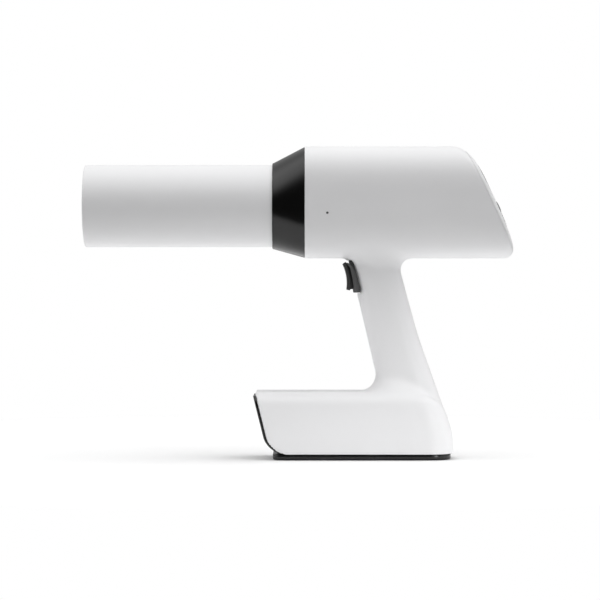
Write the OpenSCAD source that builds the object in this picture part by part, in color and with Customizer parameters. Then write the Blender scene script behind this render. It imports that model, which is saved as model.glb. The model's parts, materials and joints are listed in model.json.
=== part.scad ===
// Hand-held intraoral x-ray unit with a pistol grip and a battery base.
// X runs from the open end of the cone (-X) to the back of the head (+X),
// Y from side to side, Z up. The foot stands on Z = 0.

/* [Overall] */
// Height from the floor to the top of the head
overall_h = 258; // [225:0.5:312]
// Wall of the moulded casing
shell_wall = 2.5; // [1.8:0.1:3.2]

/* [Head] */
// Length of the head behind the collar
head_len = 172.4; // [160:0.2:215]
// Width of the head
head_w = 84; // [80:0.5:102]
// Height of the head
head_h = 92.4; // [88:0.2:112]
// Lean of the back of the head from upright, degrees
head_slant = 25; // [20:0.5:30]
// Radius where the top turns into the back
head_top_r = 16; // [8:0.5:22]
// Radius of the heel under the back
head_heel_r = 7; // [4:0.5:10]
// Squareness of the head's section, 2 is an ellipse
head_square = 2.7; // [2.3:0.1:3.4]
// Thickness of the rear bezel
bezel_t = 3; // [2.5:0.1:4]

/* [Cone and collar] */
// Outside diameter of the cone
cone_od = 68; // [60:0.5:74]
// Wall of the cone tube
cone_wall = 2.5; // [1.5:0.1:3]
// Clear bore of the cone's liner
cone_bore = 60; // [48:0.5:62]
// How far the cone's axis lies under the middle of the head
cone_drop = 3; // [0:0.5:4]
// Length of the collar
collar_len = 26.7; // [22:0.1:34]
// Step from the cone up to the collar
collar_lip = 1.3; // [0.8:0.1:2.5]
// Focal spot to the open end of the cone
focal_to_tip = 200; // [166:1:300]
// Focal spot behind the front of the head
focal_depth = 18.3; // [18:0.1:24]

/* [Grip] */
// Front of the grip behind the front of the head
grip_start = 36.6; // [30:0.2:42]
// Front to back size of the grip under the head
grip_depth = 39.9; // [36:0.1:48]
// Width of the grip
grip_w = 37; // [34:0.5:44]
// Lean of the grip's front from upright, degrees
front_lean = 13.3; // [9:0.1:16]
// Lean of the grip's upper back, degrees
back_lean = 15; // [11:0.1:18]
// Lean of the grip's lower back, degrees
heel_lean = 19.5; // [15:0.1:22]

/* [Base] */
// Height of the base's upper face above the floor
base_h = 55.8; // [50:0.2:67]
// Length of the base
base_len = 167.2; // [155:0.2:200]
// Width of the base
base_w = 64; // [62:0.5:77]
// Lean of the base's front, degrees
base_lean = 14; // [8:0.5:16]
// Thickness of the black cover
cover_t = 2.2; // [1.5:0.1:3]
// Height of the foot
foot_h = 4.8; // [3:0.1:6]

/* [Trigger] */
// Width of the moving trigger
trigger_w = 13; // [10:0.5:15]
// Travel of the trigger, degrees
trigger_travel = 5; // [3:0.5:7]
// Diameter of the trigger's pin
trigger_pin_d = 2.5; // [2:0.1:3]

/* [Panel] */
// Length of the control panel along the slope
panel_len = 64; // [56:0.5:74]
// Width of the control panel
panel_w = 62; // [56:0.5:70]
// Diameter of a key
key_d = 10; // [8:0.5:11]
// Travel of a key
key_travel = 0.8; // [0.5:0.1:1]

/* [Hidden] */
arc_steps = 8;
run_gap = 0.05;
fit_gap = 0.1;
side_gap = 0.3;

cone_len = focal_to_tip - focal_depth - collar_len;
overall_len = cone_len + collar_len + head_len;
tip_x = -overall_len / 2;
collar_x = tip_x + cone_len;
head_x = collar_x + collar_len;
rear_x = head_x + head_len;
head_bottom = overall_h - head_h;
head_z = overall_h - head_h / 2;
cone_z = head_z - cone_drop;
focal_x = head_x + focal_depth;
tube_bore = cone_od - 2 * cone_wall;

// Outlines are lists of [x, z, corner radius]; arcs are worked out here.
function unit(v) = v / norm(v);
function turn(a) = a > 180 ? a - 360 : (a < -180 ? a + 360 : a);
function corner(a, b, c, r) =
    r <= 0 ? [b] :
    let (
        u = unit(a - b),
        v = unit(c - b),
        half = acos(u * v) / 2,
        m = b + unit(u + v) * r / sin(half),
        p = b + u * r / tan(half) - m,
        q = b + v * r / tan(half) - m,
        start = atan2(p[1], p[0]),
        sweep = turn(atan2(q[1], q[0]) - start)
    )
    [for (i = [0:arc_steps]) m + r * [cos(start + sweep * i / arc_steps), sin(start + sweep * i / arc_steps)]];
function flat(p) = [p[0], p[1]];
function outline(p) =
    [for (i = [0:len(p) - 1])
        each corner(flat(p[(i + len(p) - 1) % len(p)]), flat(p[i]), flat(p[(i + 1) % len(p)]), p[i][2])];
function rounded_box(w, h, r) =
    outline([[-w / 2, -h / 2, r], [w / 2, -h / 2, r], [w / 2, h / 2, r], [-w / 2, h / 2, r]]);
function bulge(t, power) = sign(t) * pow(abs(t), 2 / power);
function squircle(w, h, power, count) =
    [for (i = [0:count - 1])
        [w / 2 * bulge(cos(360 * i / count), power), h / 2 * bulge(sin(360 * i / count), power)]];

// A closed skin over rings of points that run the same way round.
module skin(rings) {
    n = len(rings[0]);
    m = len(rings);
    at = function(k, i) k * n + i % n;
    walls = [for (k = [0:m - 2], i = [0:n - 1])
        each [[at(k, i), at(k + 1, i), at(k + 1, i + 1)], [at(k, i), at(k + 1, i + 1), at(k, i + 1)]]];
    low = [for (i = [0:n - 1]) i];
    high = [for (i = [n - 1:-1:0]) (m - 1) * n + i];
    polyhedron(points = [for (ring = rings) each ring], faces = concat([low, high], walls));
}

module across(w) {
    rotate([90, 0, 0])
        linear_extrude(w, center = true)
            children();
}
module along(x, length) {
    translate([x, 0, 0])
        rotate([90, 0, 90])
            linear_extrude(length)
                children();
}
module rod_x(x, length, d, z = cone_z, y = 0) {
    translate([x, y, z])
        rotate([0, 90, 0])
            cylinder(h = length, d = d, $fn = 72);
}
module rod_y(x, z, y, length, d) {
    translate([x, y, z])
        rotate([-90, 0, 0])
            cylinder(h = length, d = d, $fn = 48);
}
module ring_x(x, length, outer, inner, z = cone_z) {
    difference() {
        rod_x(x, length, outer, z);
        rod_x(x - 1, length + 2, inner, z);
    }
}

// ---- Head shape ----
heel_corner_x = rear_x - head_heel_r + head_heel_r * tan(45 + head_slant / 2);
crown_corner_x = heel_corner_x - head_h * tan(head_slant);
slope_z = head_z + 3;
slope_x = heel_corner_x - (slope_z - head_bottom) * tan(head_slant);

// Puts children on the sloping back: x down the slope, z out of it.
module on_slope() {
    translate([slope_x, 0, slope_z])
        rotate([0, 90 - head_slant, 0])
            children();
}
module head_solid(inset) {
    shift = inset / cos(head_slant) - inset * tan(head_slant);
    lift = inset / cos(head_slant) + inset * tan(head_slant);
    profile = [
        [head_x + inset * 0.6, head_bottom + inset, 0],
        [heel_corner_x - lift, head_bottom + inset, max(head_heel_r - inset, 1)],
        [crown_corner_x - shift, overall_h - inset, max(head_top_r - inset, 1)],
        [head_x + inset * 0.6, overall_h - inset, 0]
    ];
    intersection() {
        across(head_w)
            polygon(outline(profile));
        along(head_x, rear_x - head_x + head_w)
            translate([0, head_z])
                polygon(squircle(head_w - 2 * inset, head_h - 2 * inset, head_square, 56));
    }
}
// Everything behind the joint plane of the rear bezel.
module behind_slope(depth) {
    on_slope()
        translate([-head_h, -head_w, -depth])
            cube([2 * head_h, 2 * head_w, head_h]);
}

// ---- Grip shape ----
grip_front_x = head_x + grip_start;
grip_span = head_bottom - base_h;
knee_z = base_h + 0.44 * grip_span;
knee_x = grip_front_x + grip_depth + (head_bottom - knee_z) * tan(back_lean);
heel_z = 21;
base_rear_x = knee_x + (knee_z - heel_z) * tan(heel_lean);
base_x = base_rear_x - base_len;
flare_front = 20;
flare_back = 12;
flare_side = 9;
flare_toe = 16;
flare_hip = 8;

function fillet(d, r) = d >= r ? 0 : r - sqrt(max(0, r * r - (r - max(d, 0)) * (r - max(d, 0))));
function grip_front(z) =
    grip_front_x + (head_bottom - z) * tan(front_lean)
    - fillet(head_bottom - z, flare_front) - fillet(z - base_h, flare_toe);
function grip_back(z) =
    z > knee_z
    ? grip_front_x + grip_depth + (head_bottom - z) * tan(back_lean) + fillet(head_bottom - z, flare_back)
    : knee_x + (knee_z - z) * tan(heel_lean);
function grip_side(z) = grip_w / 2 + fillet(head_bottom - z, flare_side) + fillet(z - base_h, flare_hip);
function grip_ring(z, inset, level) =
    let (front = grip_front(z) + inset, back = grip_back(z) - inset, half = grip_side(z) - inset)
    [for (p = squircle(back - front, 2 * half, 2.5, 28)) [(front + back) / 2 + p[0], p[1], level]];
grip_levels = [0, 0.8, 2.5, 5, 9, 14, 20, grip_span * 0.35, grip_span * 0.56, grip_span - 16, grip_span - 8,
    grip_span - 3.5, grip_span - 1, grip_span];
module grip_solid(inset, low, high) {
    skin(concat(
        [grip_ring(base_h, inset, base_h - low)],
        [for (i = [len(grip_levels) - 1:-1:0]) grip_ring(head_bottom - grip_levels[i], inset, head_bottom - grip_levels[i])],
        [grip_ring(head_bottom, inset, head_bottom + high)]
    ));
}

// ---- Base shape ----
base_toe_x = base_x + base_h * tan(base_lean);
base_top_back_x = grip_back(base_h);
edge_top_r = 12;
edge_low_r = 5;
plan_front_r = 10;
plan_back_r = 20;
toe_r = 20;

// Side outline of the base, moved in by front and back insets, with its floor at a given height.
function base_profile(front, back, floor_z, roof_z, round_r) = [
    [base_x + front + (base_h - roof_z) * tan(base_lean), roof_z, max(3 - front, 0.5)],
    [base_toe_x + front - floor_z * tan(base_lean), floor_z, round_r],
    [base_rear_x - back, floor_z, 2],
    [base_rear_x - back, heel_z, 30],
    [base_top_back_x - back, roof_z + 0.01, 0]
];
module base_plan(front, side, back) {
    half = base_w / 2 - side;
    polygon(outline([
        [base_x + front, -half, plan_front_r],
        [base_rear_x - back, -half, plan_back_r],
        [base_rear_x - back, half, plan_back_r],
        [base_x + front, half, plan_front_r]
    ]));
}
module base_solid(front, side, back, floor_z, roof_z, round_r) {
    intersection() {
        across(base_w)
            polygon(outline(base_profile(front, back, floor_z, roof_z, round_r)));
        along(base_x, base_len)
            translate([0, (roof_z + floor_z) / 2])
                polygon(outline([
                    [side - base_w / 2, (floor_z - roof_z) / 2, edge_low_r],
                    [base_w / 2 - side, (floor_z - roof_z) / 2, edge_low_r],
                    [base_w / 2 - side, (roof_z - floor_z) / 2, edge_top_r],
                    [side - base_w / 2, (roof_z - floor_z) / 2, edge_top_r]
                ]));
        linear_extrude(base_h + 1)
            base_plan(front, side, back);
    }
}

// ---- Casing ----
white = [0.93, 0.93, 0.94];
black = [0.05, 0.05, 0.055];
steel = [0.7, 0.71, 0.73];
post_d = 8;
screw_d = 3;
screw_head_d = 5.6;
screw_sink = 9;
plug_t = 1.2;
// Screws that close the two half shells, as [x, z]
shell_posts = [
    [head_x + 9, overall_h - 9],
    [head_x + head_len * 0.62, overall_h - 10],
    [head_x + head_len * 0.8, head_bottom + 10],
    [grip_front(knee_z) + 9, knee_z + 14],
    [base_x + 12, base_h - 10],
    [base_rear_x - 32, foot_h + 13]
];

mount_flange_d = 70;
mount_flange_t = 5;
mount_x = collar_x + 13;
cone_step = 0.7;
window_w = 24;
bezel_gap = 0.15;

module shell_outer() {
    difference() {
        head_solid(0);
        behind_slope(bezel_t);
    }
    grip_solid(0, 8, 6);
    base_solid(cover_t, 0, 0, foot_h, base_h, toe_r);
}
module shell_inner() {
    difference() {
        head_solid(shell_wall);
        behind_slope(bezel_t + 1.5);
    }
    grip_solid(shell_wall, 12, 12);
    base_solid(cover_t + shell_wall, shell_wall, shell_wall, foot_h + shell_wall, base_h - shell_wall, toe_r - shell_wall);
}
// The rear mouth of the head, open behind the bezel.
module rear_mouth() {
    lip = shell_wall + 1.5;
    intersection() {
        along(head_x, rear_x - head_x + head_w)
            translate([0, head_z])
                polygon(squircle(head_w - 2 * lip, head_h - 2 * lip, head_square, 56));
        behind_slope(bezel_t + 3);
    }
}
module front_mouth() {
    rod_x(head_x - 5, shell_wall + 12, mount_flange_d + 4);
}
module posts(from_y, length, d) {
    for (p = shell_posts)
        rod_y(p[0], p[1], from_y, length, d);
}

// One half of the casing; side is -1 for the left half and 1 for the right.
module half_shell(side) {
    bore = screw_d + 2 * fit_gap;
    color(white)
        difference() {
            intersection() {
                union() {
                    difference() {
                        shell_outer();
                        shell_inner();
                    }
                    intersection() {
                        shell_outer();
                        posts(-head_w / 2, head_w, post_d);
                    }
                }
                translate([tip_x, side > 0 ? 0 : -head_w, 0])
                    cube([overall_len, head_w, overall_h + 1]);
            }
            rear_mouth();
            front_mouth();
            trigger_window();
            cover_seat();
            socket_hole();
            mark_discs(2 + 2 * fit_gap, mark_t);
            if (side > 0) {
                posts(-1, head_w, bore);
                post_sinks();
            } else {
                posts(-screw_sink, head_w, bore);
            }
        }
}
// Outer face of the casing at each screw post.
function head_half(x, z) = head_w / 2 * pow(max(0.05, 1 - pow(abs(z - head_z) / (head_h / 2), head_square)), 1 / head_square);
function post_face(p) =
    p[1] > head_bottom ? head_half(p[0], p[1])
    : p[1] > base_h ? grip_w / 2
    : base_w / 2;
module post_sinks() {
    for (p = shell_posts)
        rod_y(p[0], p[1], post_face(p) - screw_sink, head_w, screw_head_d + 2 * fit_gap);
}
module left_shell() {
    half_shell(-1);
}
module right_shell() {
    half_shell(1);
}
module shell_screws() {
    color(steel)
        for (p = shell_posts) {
            rod_y(p[0], p[1], post_face(p) - screw_sink, screw_d, screw_head_d);
            rod_y(p[0], p[1], -screw_sink + 1, post_face(p), screw_d);
        }
}
module screw_plugs() {
    color(white)
        for (p = shell_posts)
            rod_y(p[0], p[1], post_face(p) - screw_sink + screw_d, screw_sink - screw_d - plug_t, screw_head_d);
}

// ---- Collar, cone and their mount ----
module collar() {
    nose_d = cone_od + 2 * collar_lip;
    nose = [for (p = squircle(nose_d, nose_d, 2, 48)) [collar_x, p[0], cone_z + p[1]]];
    lip = [for (p = squircle(nose_d, nose_d, 2, 48)) [collar_x + 1, p[0], cone_z + p[1]]];
    tail = [for (p = squircle(head_w - 1, head_h - 1, head_square, 48)) [head_x, p[0], head_z + p[1]]];
    color(black)
        difference() {
            skin([nose, lip, tail]);
            rod_x(collar_x - 1, collar_len + 2, cone_od - 2 * cone_step + 2 * fit_gap);
            rod_x(mount_x - fit_gap, collar_len, mount_flange_d + 2 * fit_gap);
        }
}
module cone_tube() {
    color(white) {
        ring_x(tip_x, cone_len, cone_od, tube_bore);
        ring_x(collar_x - 1, mount_x - collar_x + 1, cone_od - 2 * cone_step, tube_bore);
    }
}
module cone_liner() {
    color(steel)
        ring_x(tip_x + 1, cone_len - 1, tube_bore - 2 * fit_gap, cone_bore);
}
module cone_mount() {
    spigot = tube_bore - 2 * fit_gap;
    color(steel)
        difference() {
            union() {
                rod_x(collar_x + 1, mount_x - collar_x - 1, spigot);
                rod_x(mount_x, mount_flange_t, mount_flange_d);
            }
            rod_x(collar_x, collar_len, port_d);
            rod_x(collar_x, mount_x - collar_x, spigot_bore);
            mount_holes(mount_x - 1, mount_flange_t + 2, screw_d + 2 * fit_gap);
        }
}
module mount_holes(x, length, d) {
    for (a = [45:90:315])
        rod_x(x, length, d, cone_z + mount_bolt_r * sin(a), mount_bolt_r * cos(a));
}
module mount_screws() {
    color(steel) {
        mount_holes(mount_x - screw_d, screw_d, screw_head_d);
        mount_holes(mount_x - 0.5, mount_flange_t + tank_wall + 0.5, screw_d);
    }
}

// ---- Beam port ----
port_d = 36;
spigot_bore = 56;
mount_bolt_r = 23;
nose_bore = 30;
module exit_window() {
    color([0.2, 0.2, 0.22])
        rod_x(mount_x + 1, 2, port_d - 2 * fit_gap);
}
module collimator() {
    color([0.45, 0.46, 0.5])
        difference() {
            rod_x(tank_x, 4, nose_bore - 2 * fit_gap);
            rod_x(tank_x - 1, 6, 9);
        }
}
module beam_filter() {
    color(steel)
        rod_x(tank_x + 4, 2, nose_bore - 2 * fit_gap);
}

// ---- X-ray source: a sealed tank with the tube and its supply ----
tank_wall = 3;
tank_x = mount_x + mount_flange_t;
tank_box_x = head_x + shell_wall;
tank_len = 84;
tank_w = head_w * 5 / 6;
tank_corner = tank_w / 4.375;
tank_h = head_h - 24;
tank_end = tank_box_x + tank_len;
seal_t = 1;
cover_plate_t = 4;
tank_bolt_d = 3;
shield_t = 1.5;
shield_len = 36;
tube_d = 22;
tube_len = 52;

module tank_section(inset) {
    translate([0, cone_z])
        polygon(rounded_box(tank_w - 2 * inset, tank_h - 2 * inset, tank_corner - inset));
}
module tank_bolts(x, length, d) {
    for (side = [-1, 1], level = [-1, 0, 1])
        rod_x(x, length, d, cone_z + level * (tank_h / 2 - tank_corner), side * (tank_w / 2 - 6));
}
module tank_body() {
    color([0.62, 0.64, 0.66])
        difference() {
            union() {
                rod_x(tank_x, tank_box_x - tank_x + 1, mount_flange_d - 6);
                difference() {
                    along(tank_box_x, tank_len)
                        tank_section(0);
                    along(tank_box_x + tank_wall, tank_len)
                        tank_section(tank_wall);
                }
                intersection() {
                    tank_bolts(tank_end - 12, 12, 7);
                    along(tank_box_x, tank_len)
                        tank_section(0);
                }
            }
            rod_x(tank_x - 1, 20, nose_bore);
            tank_bolts(tank_end - 10, 11, tank_bolt_d + 2 * fit_gap);
            mount_holes(tank_x - 1, tank_wall + 2, screw_d + 2 * fit_gap);
        }
}
module tank_seal() {
    color(black)
        difference() {
            along(tank_end, seal_t)
                tank_section(0);
            along(tank_end - 1, seal_t + 2)
                tank_section(tank_wall);
            tank_bolts(tank_end - 1, seal_t + 2, tank_bolt_d + 2 * fit_gap);
        }
}
module tank_cover() {
    color([0.62, 0.64, 0.66])
        difference() {
            along(tank_end + seal_t, cover_plate_t)
                tank_section(0);
            tank_bolts(tank_end, seal_t + cover_plate_t + 1, tank_bolt_d + 2 * fit_gap);
        }
}
module tank_screws() {
    color(steel) {
        tank_bolts(tank_end - 9, 9 + seal_t + cover_plate_t, tank_bolt_d);
        tank_bolts(tank_end + seal_t + cover_plate_t, 2, 5.5);
    }
}
module lead_shield() {
    start = tank_box_x + tank_wall;
    color([0.4, 0.41, 0.45])
        difference() {
            along(start, shield_len)
                tank_section(tank_wall + fit_gap);
            along(start + shield_t, shield_len)
                tank_section(tank_wall + fit_gap + shield_t);
            rod_x(start - 1, shield_t + 2, nose_bore);
        }
}
module tube_envelope() {
    color([0.8, 0.88, 0.9, 0.4])
        difference() {
            rod_y(focal_x, cone_z, -tube_len / 2, tube_len, tube_d);
            rod_y(focal_x, cone_z, -tube_len / 2 + 2, tube_len - 4, tube_d - 3);
            rod_y(focal_x, cone_z, tube_len / 2 - 3, 4, anode_d + 2 * run_gap);
            rod_y(focal_x, cone_z, -tube_len / 2 - 1, 4, cathode_stem_d + 2 * run_gap);
        }
}
anode_d = 12;
anode_tilt = 20;
cathode_stem_d = 5;
target_t = 1;
module anode_face(depth) {
    translate([focal_x, 0, cone_z])
        rotate([0, 0, anode_tilt])
            translate([-anode_d, -anode_d * 2, -anode_d])
                cube([2 * anode_d, anode_d * 2 + depth, 2 * anode_d]);
}
module anode_block() {
    color([0.72, 0.45, 0.3])
        difference() {
            rod_y(focal_x, cone_z, -anode_d / 2, tube_len / 2 + anode_d / 2 + 2.5, anode_d);
            anode_face(target_t);
        }
}
module target_disc() {
    color([0.35, 0.35, 0.37])
        translate([focal_x, 0, cone_z])
            rotate([-90, 0, anode_tilt])
                cylinder(h = target_t, d = 8, $fn = 36);
}
module cathode_cup() {
    color(steel)
        difference() {
            union() {
                rod_y(focal_x, cone_z, -tube_len / 2 - 2.5, 12, cathode_stem_d);
                rod_y(focal_x, cone_z, -tube_len / 2 + 8, 8, 12);
            }
            rod_y(focal_x, cone_z, -tube_len / 2 + 14, 3, 7);
        }
}
module tube_cradle() {
    low = cone_z - tank_h / 2 + tank_wall + fit_gap + shield_t;
    color([0.85, 0.83, 0.75])
        difference() {
            for (side = [-1, 1])
                translate([focal_x - tube_d / 2, side * tube_len / 4 - 3, low])
                    cube([tube_d, 6, cone_z - 4 - low]);
            rod_y(focal_x, cone_z, -tube_len, 2 * tube_len, tube_d + 2 * run_gap);
        }
}

core_x = tank_box_x + 52;
core_t = 14;
core_h = 38;
core_leg = 10;
core_gap = 9;
core_w = 3 * core_leg + 2 * core_gap;
module transformer_core() {
    color([0.2, 0.2, 0.21])
        translate([core_x, 0, cone_z])
            difference() {
                translate([0, -core_w / 2, -core_h / 2])
                    cube([core_t, core_w, core_h]);
                for (side = [-1, 1])
                    translate([-1, side * (core_leg + core_gap) / 2 - core_gap / 2, core_leg - core_h / 2])
                        cube([core_t + 2, core_gap, core_h - 2 * core_leg]);
            }
}
module transformer_windings() {
    tall = core_h - 2 * core_leg - 1;
    depth = core_gap - 2;
    color([0.72, 0.42, 0.2])
        translate([core_x, 0, cone_z])
            difference() {
                translate([-depth, -core_leg / 2 - depth, -tall / 2])
                    cube([core_t + 2 * depth, core_leg + 2 * depth, tall]);
                translate([-fit_gap, -core_leg / 2 - fit_gap, -core_h])
                    cube([core_t + 2 * fit_gap, core_leg + 2 * fit_gap, 2 * core_h]);
            }
}
module multiplier_board() {
    board_x = tank_box_x + 42;
    color([0.1, 0.35, 0.2])
        translate([board_x, -24, cone_z - 22])
            cube([1.6, 48, 44]);
    color([0.15, 0.3, 0.6])
        for (row = [-1, 1], column = [-1.5:1:1.5])
            rod_x(board_x - 3, 3, 8, cone_z + row * 13, column * 11);
}
module oil_bellows() {
    color(black)
        translate([tank_end + seal_t, 0, cone_z])
            rotate([0, -90, 0])
                rotate_extrude($fn = 48)
                    polygon([[0, 0], [14, 0], [14, 1.2], [11, 1.2], [12.5, 2.6], [11, 4], [12, 5.5], [0, 5.5]]);
}

// ---- Drive board behind the source ----
bracket_t = 1.5;
bracket_x = tank_end + seal_t + cover_plate_t;
bracket_len = 44;
bracket_w = 50;
bracket_z = cone_z - 18;
board_t = 1.6;
board_lift = 4;
module board_posts(z, length, d) {
    for (dx = [12, bracket_len - 5], side = [-1, 1])
        translate([bracket_x + dx, side * (bracket_w / 2 - 5), z])
            cylinder(h = length, d = d, $fn = 36);
}
module board_bracket() {
    color(steel)
        difference() {
            union() {
                translate([bracket_x, -bracket_w / 2, bracket_z - bracket_t])
                    cube([bracket_len, bracket_w, bracket_t]);
                translate([bracket_x, -bracket_w / 2, bracket_z - bracket_t])
                    cube([bracket_t, bracket_w, 15]);
                board_posts(bracket_z - bracket_t, board_lift + bracket_t, 6);
            }
            board_posts(bracket_z - bracket_t - 1, board_lift + bracket_t + 2, 2.2);
        }
}
module drive_board() {
    level = bracket_z + board_lift;
    color([0.1, 0.35, 0.2])
        difference() {
            translate([bracket_x + 3, -bracket_w / 2, level])
                cube([bracket_len - 4, bracket_w, board_t]);
            board_posts(level - 1, board_t + 2, 2.4);
        }
    color([0.12, 0.12, 0.14]) {
        translate([bracket_x + 18, -9, level + board_t])
            cube([12, 12, 1.4]);
        for (side = [-1, 1])
            translate([bracket_x + 25, side * 17, level + board_t])
                cylinder(h = 14, d = 8, $fn = 36);
    }
}
module board_screws() {
    level = bracket_z + board_lift + board_t;
    color(steel) {
        board_posts(level, 1.6, 4);
        board_posts(level - board_t - board_lift, board_t + board_lift, 2);
    }
}

// ---- Wiring from the drive board down the grip to the battery board ----
wire_d = 5;
wire_drop_x = bracket_x + 8;
grip_mid = function(z) (grip_front(z) + grip_back(z)) / 2 + 7;
wire_floor = head_bottom + shell_wall + wire_d / 2 + 0.4;
wire_route = [
    [wire_drop_x, 14, bracket_z - bracket_t - 1],
    [wire_drop_x + 2, 13.5, wire_floor + 5],
    [tank_end + 9, 10, wire_floor + 1.4],
    [grip_back(head_bottom) - shell_wall - 5, 6, wire_floor],
    [grip_mid(head_bottom - 18) + 1, 3, head_bottom - 10],
    [grip_mid(head_bottom - 18), 0, head_bottom - 28],
    [grip_mid(knee_z + 18), 0, knee_z + 18],
    [grip_mid(knee_z - 8), 0, knee_z - 8],
    [grip_mid(base_h + 14), 0, base_h + 14],
    [grip_mid(base_h + 14) - 4, 0, base_h - 6]
];
wire_sides = 8;
function wire_ring(k) =
    let (
        a = wire_route[max(k - 1, 0)],
        b = wire_route[min(k + 1, len(wire_route) - 1)],
        dir = unit(b - a),
        side = unit(cross([0, 1, 0.01], dir)),
        up = cross(dir, side)
    )
    [for (i = [0:wire_sides - 1])
        wire_route[k] + wire_d / 2 * (cos(360 * i / wire_sides) * side + sin(360 * i / wire_sides) * up)];
module wiring_harness() {
    color([0.15, 0.15, 0.17])
        skin([for (k = [0:len(wire_route) - 1]) wire_ring(k)]);
}

// ---- Rear bezel and control panel ----
panel_r = 16;
panel_t = 3;
panel_proud = 1.4;
display_at = -15;
display_len = 24;
display_w = 38;
display_t = 1;
key_flange = 1.2;
key_hole = key_d + 2 * side_gap;
// Centres of the keys: down the slope, across
power_at = [23, 0];
mode_at = [9, 0];
minus_at = [9, -18];
plus_at = [9, 18];
key_places = [power_at, mode_at, minus_at, plus_at];
board_depth = bezel_t + key_flange + key_travel + 0.5;

module plate(length, width, r, from_z, thickness, at = 0) {
    on_slope()
        translate([at, 0, from_z])
            linear_extrude(thickness)
                polygon(rounded_box(length, width, r));
}
module key_rods(places, from_z, length, d) {
    on_slope()
        for (p = places)
            translate([p[0], p[1], from_z])
                cylinder(h = length, d = d, $fn = 48);
}
module keypad_posts(from_z, length, d) {
    key_rods([[4, -26], [4, 26], [29, -22], [29, 22]], from_z, length, d);
}
module rear_bezel() {
    color(white)
        difference() {
            union() {
                intersection() {
                    head_solid(0);
                    behind_slope(bezel_t);
                }
                keypad_posts(-board_depth, board_depth - bezel_t + 0.5, 4);
            }
            plate(panel_len + 2 * fit_gap, panel_w + 2 * fit_gap, panel_r, panel_proud - panel_t, 10);
            plate(display_len - 4, display_w - 4, 1, -10, 20, display_at);
            key_rods(key_places, -10, 20, key_hole);
        }
}
module panel() {
    color(black)
        difference() {
            plate(panel_len, panel_w, panel_r, panel_proud - panel_t, panel_t);
            plate(display_len + 2 * fit_gap, display_w + 2 * fit_gap, 3, panel_proud - display_t, 5, display_at);
            plate(display_len - 4, display_w - 4, 1, -10, 20, display_at);
            key_rods(key_places, -10, 20, key_hole);
        }
}
module display_window() {
    color([0.1, 0.11, 0.13])
        plate(display_len, display_w, 3, panel_proud - display_t, display_t, display_at);
}
module display_module() {
    color([0.25, 0.3, 0.33])
        plate(display_len + 4, display_w + 10, 1, -bezel_t - 4, 4, display_at);
}
module keypad_board() {
    color([0.1, 0.35, 0.2])
        plate(31, 58, 2, -board_depth - board_t, board_t, 17);
}
module key(place) {
    color([0.2, 0.21, 0.22]) {
        key_rods([place], -bezel_t - run_gap, bezel_t + panel_proud + 0.3 + run_gap, key_d);
        key_rods([place], -bezel_t - run_gap - key_flange, key_flange, key_d + 2.5);
    }
}
module key_power() {
    key(power_at);
}
module key_mode() {
    key(mode_at);
}
module key_minus() {
    key(minus_at);
}
module key_plus() {
    key(plus_at);
}
mark_z = head_z - 10;
mark_face = head_half(focal_x, mark_z);
mark_t = 0.5;
module mark_discs(d, depth) {
    for (side = [-1, 1])
        rod_y(focal_x, mark_z, side > 0 ? mark_face - depth : -mark_face - 0.05, depth + 0.05, d);
}
module focal_marks() {
    color([0.25, 0.26, 0.28])
        mark_discs(2, mark_t);
}

// ---- Trigger ----
pin_drop = 5.1;
pin_z = head_bottom - pin_drop;
pin_x = grip_line(pin_drop) + 4;
trigger_lip = 2.5;
stem_drop = 15;
stem_back = grip_line(stem_drop) + 7.2;
// How far the trigger's stem carries the plunger in
switch_stroke = (stem_drop - pin_drop) * sin(trigger_travel);
switch_gap = 0.12;
plunger_d = 1.6;
switch_spare = 0.5;
switch_x = stem_back + switch_stroke + 1.4;
switch_len = 6.5;
switch_w = 5.8;
switch_h = 12.8;
plunger_in = 2;
bezel_back = stem_back + 5.5;
bezel_wall = 1.8;
spring_d = 3.6;
spring_wire = 0.4;
spring_drop = 24;
bezel_w = window_w - 2 * bezel_gap;
slot_w = trigger_w + 2 * side_gap;

// Plane of the grip's front, a given drop under the head
function grip_line(drop) = grip_front_x + drop * tan(front_lean);
function beside(offset, drop, r = 0) = [grip_line(drop) + offset, head_bottom - drop, r];

function surround_outline(grow) = [
    [grip_line(5.8) - 1.3 - grow, head_bottom - 2.2 + grow, 0],
    beside(-1.3 - grow, 5.8),
    beside(-1.6 - grow, 25),
    beside(-1.6 - grow, 28.6 + grow, 1),
    [bezel_back + bezel_wall + grow, head_bottom - 28.6 - grow, 0],
    [bezel_back + bezel_wall + grow, head_bottom - 2.2 + grow, 0]
];
module trigger_window() {
    across(window_w) {
        polygon(outline(surround_outline(bezel_gap)));
        polygon(outline([
            beside(-7, 1.6),
            beside(-9, 28.7),
            beside(0, 28.7),
            beside(0, 1.6)
        ]));
    }
}
module trigger_bezel() {
    color([0.16, 0.16, 0.17])
        difference() {
            across(bezel_w)
                polygon(outline(surround_outline(0)));
            across(slot_w)
                polygon(outline([
                    [pin_x - 30, head_bottom - 3.4, 0],
                    [pin_x - 30, head_bottom - 27, 0],
                    [bezel_back, head_bottom - 27, 0],
                    [bezel_back, head_bottom - 1.4, 0],
                    [pin_x - 4, head_bottom - 1.4, 0]
                ]));
            switch_box(fit_gap, bezel_wall + 2);
            rod_y(pin_x, pin_z, -window_w, 2 * window_w, trigger_pin_d + 0.04);
        }
}
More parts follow.
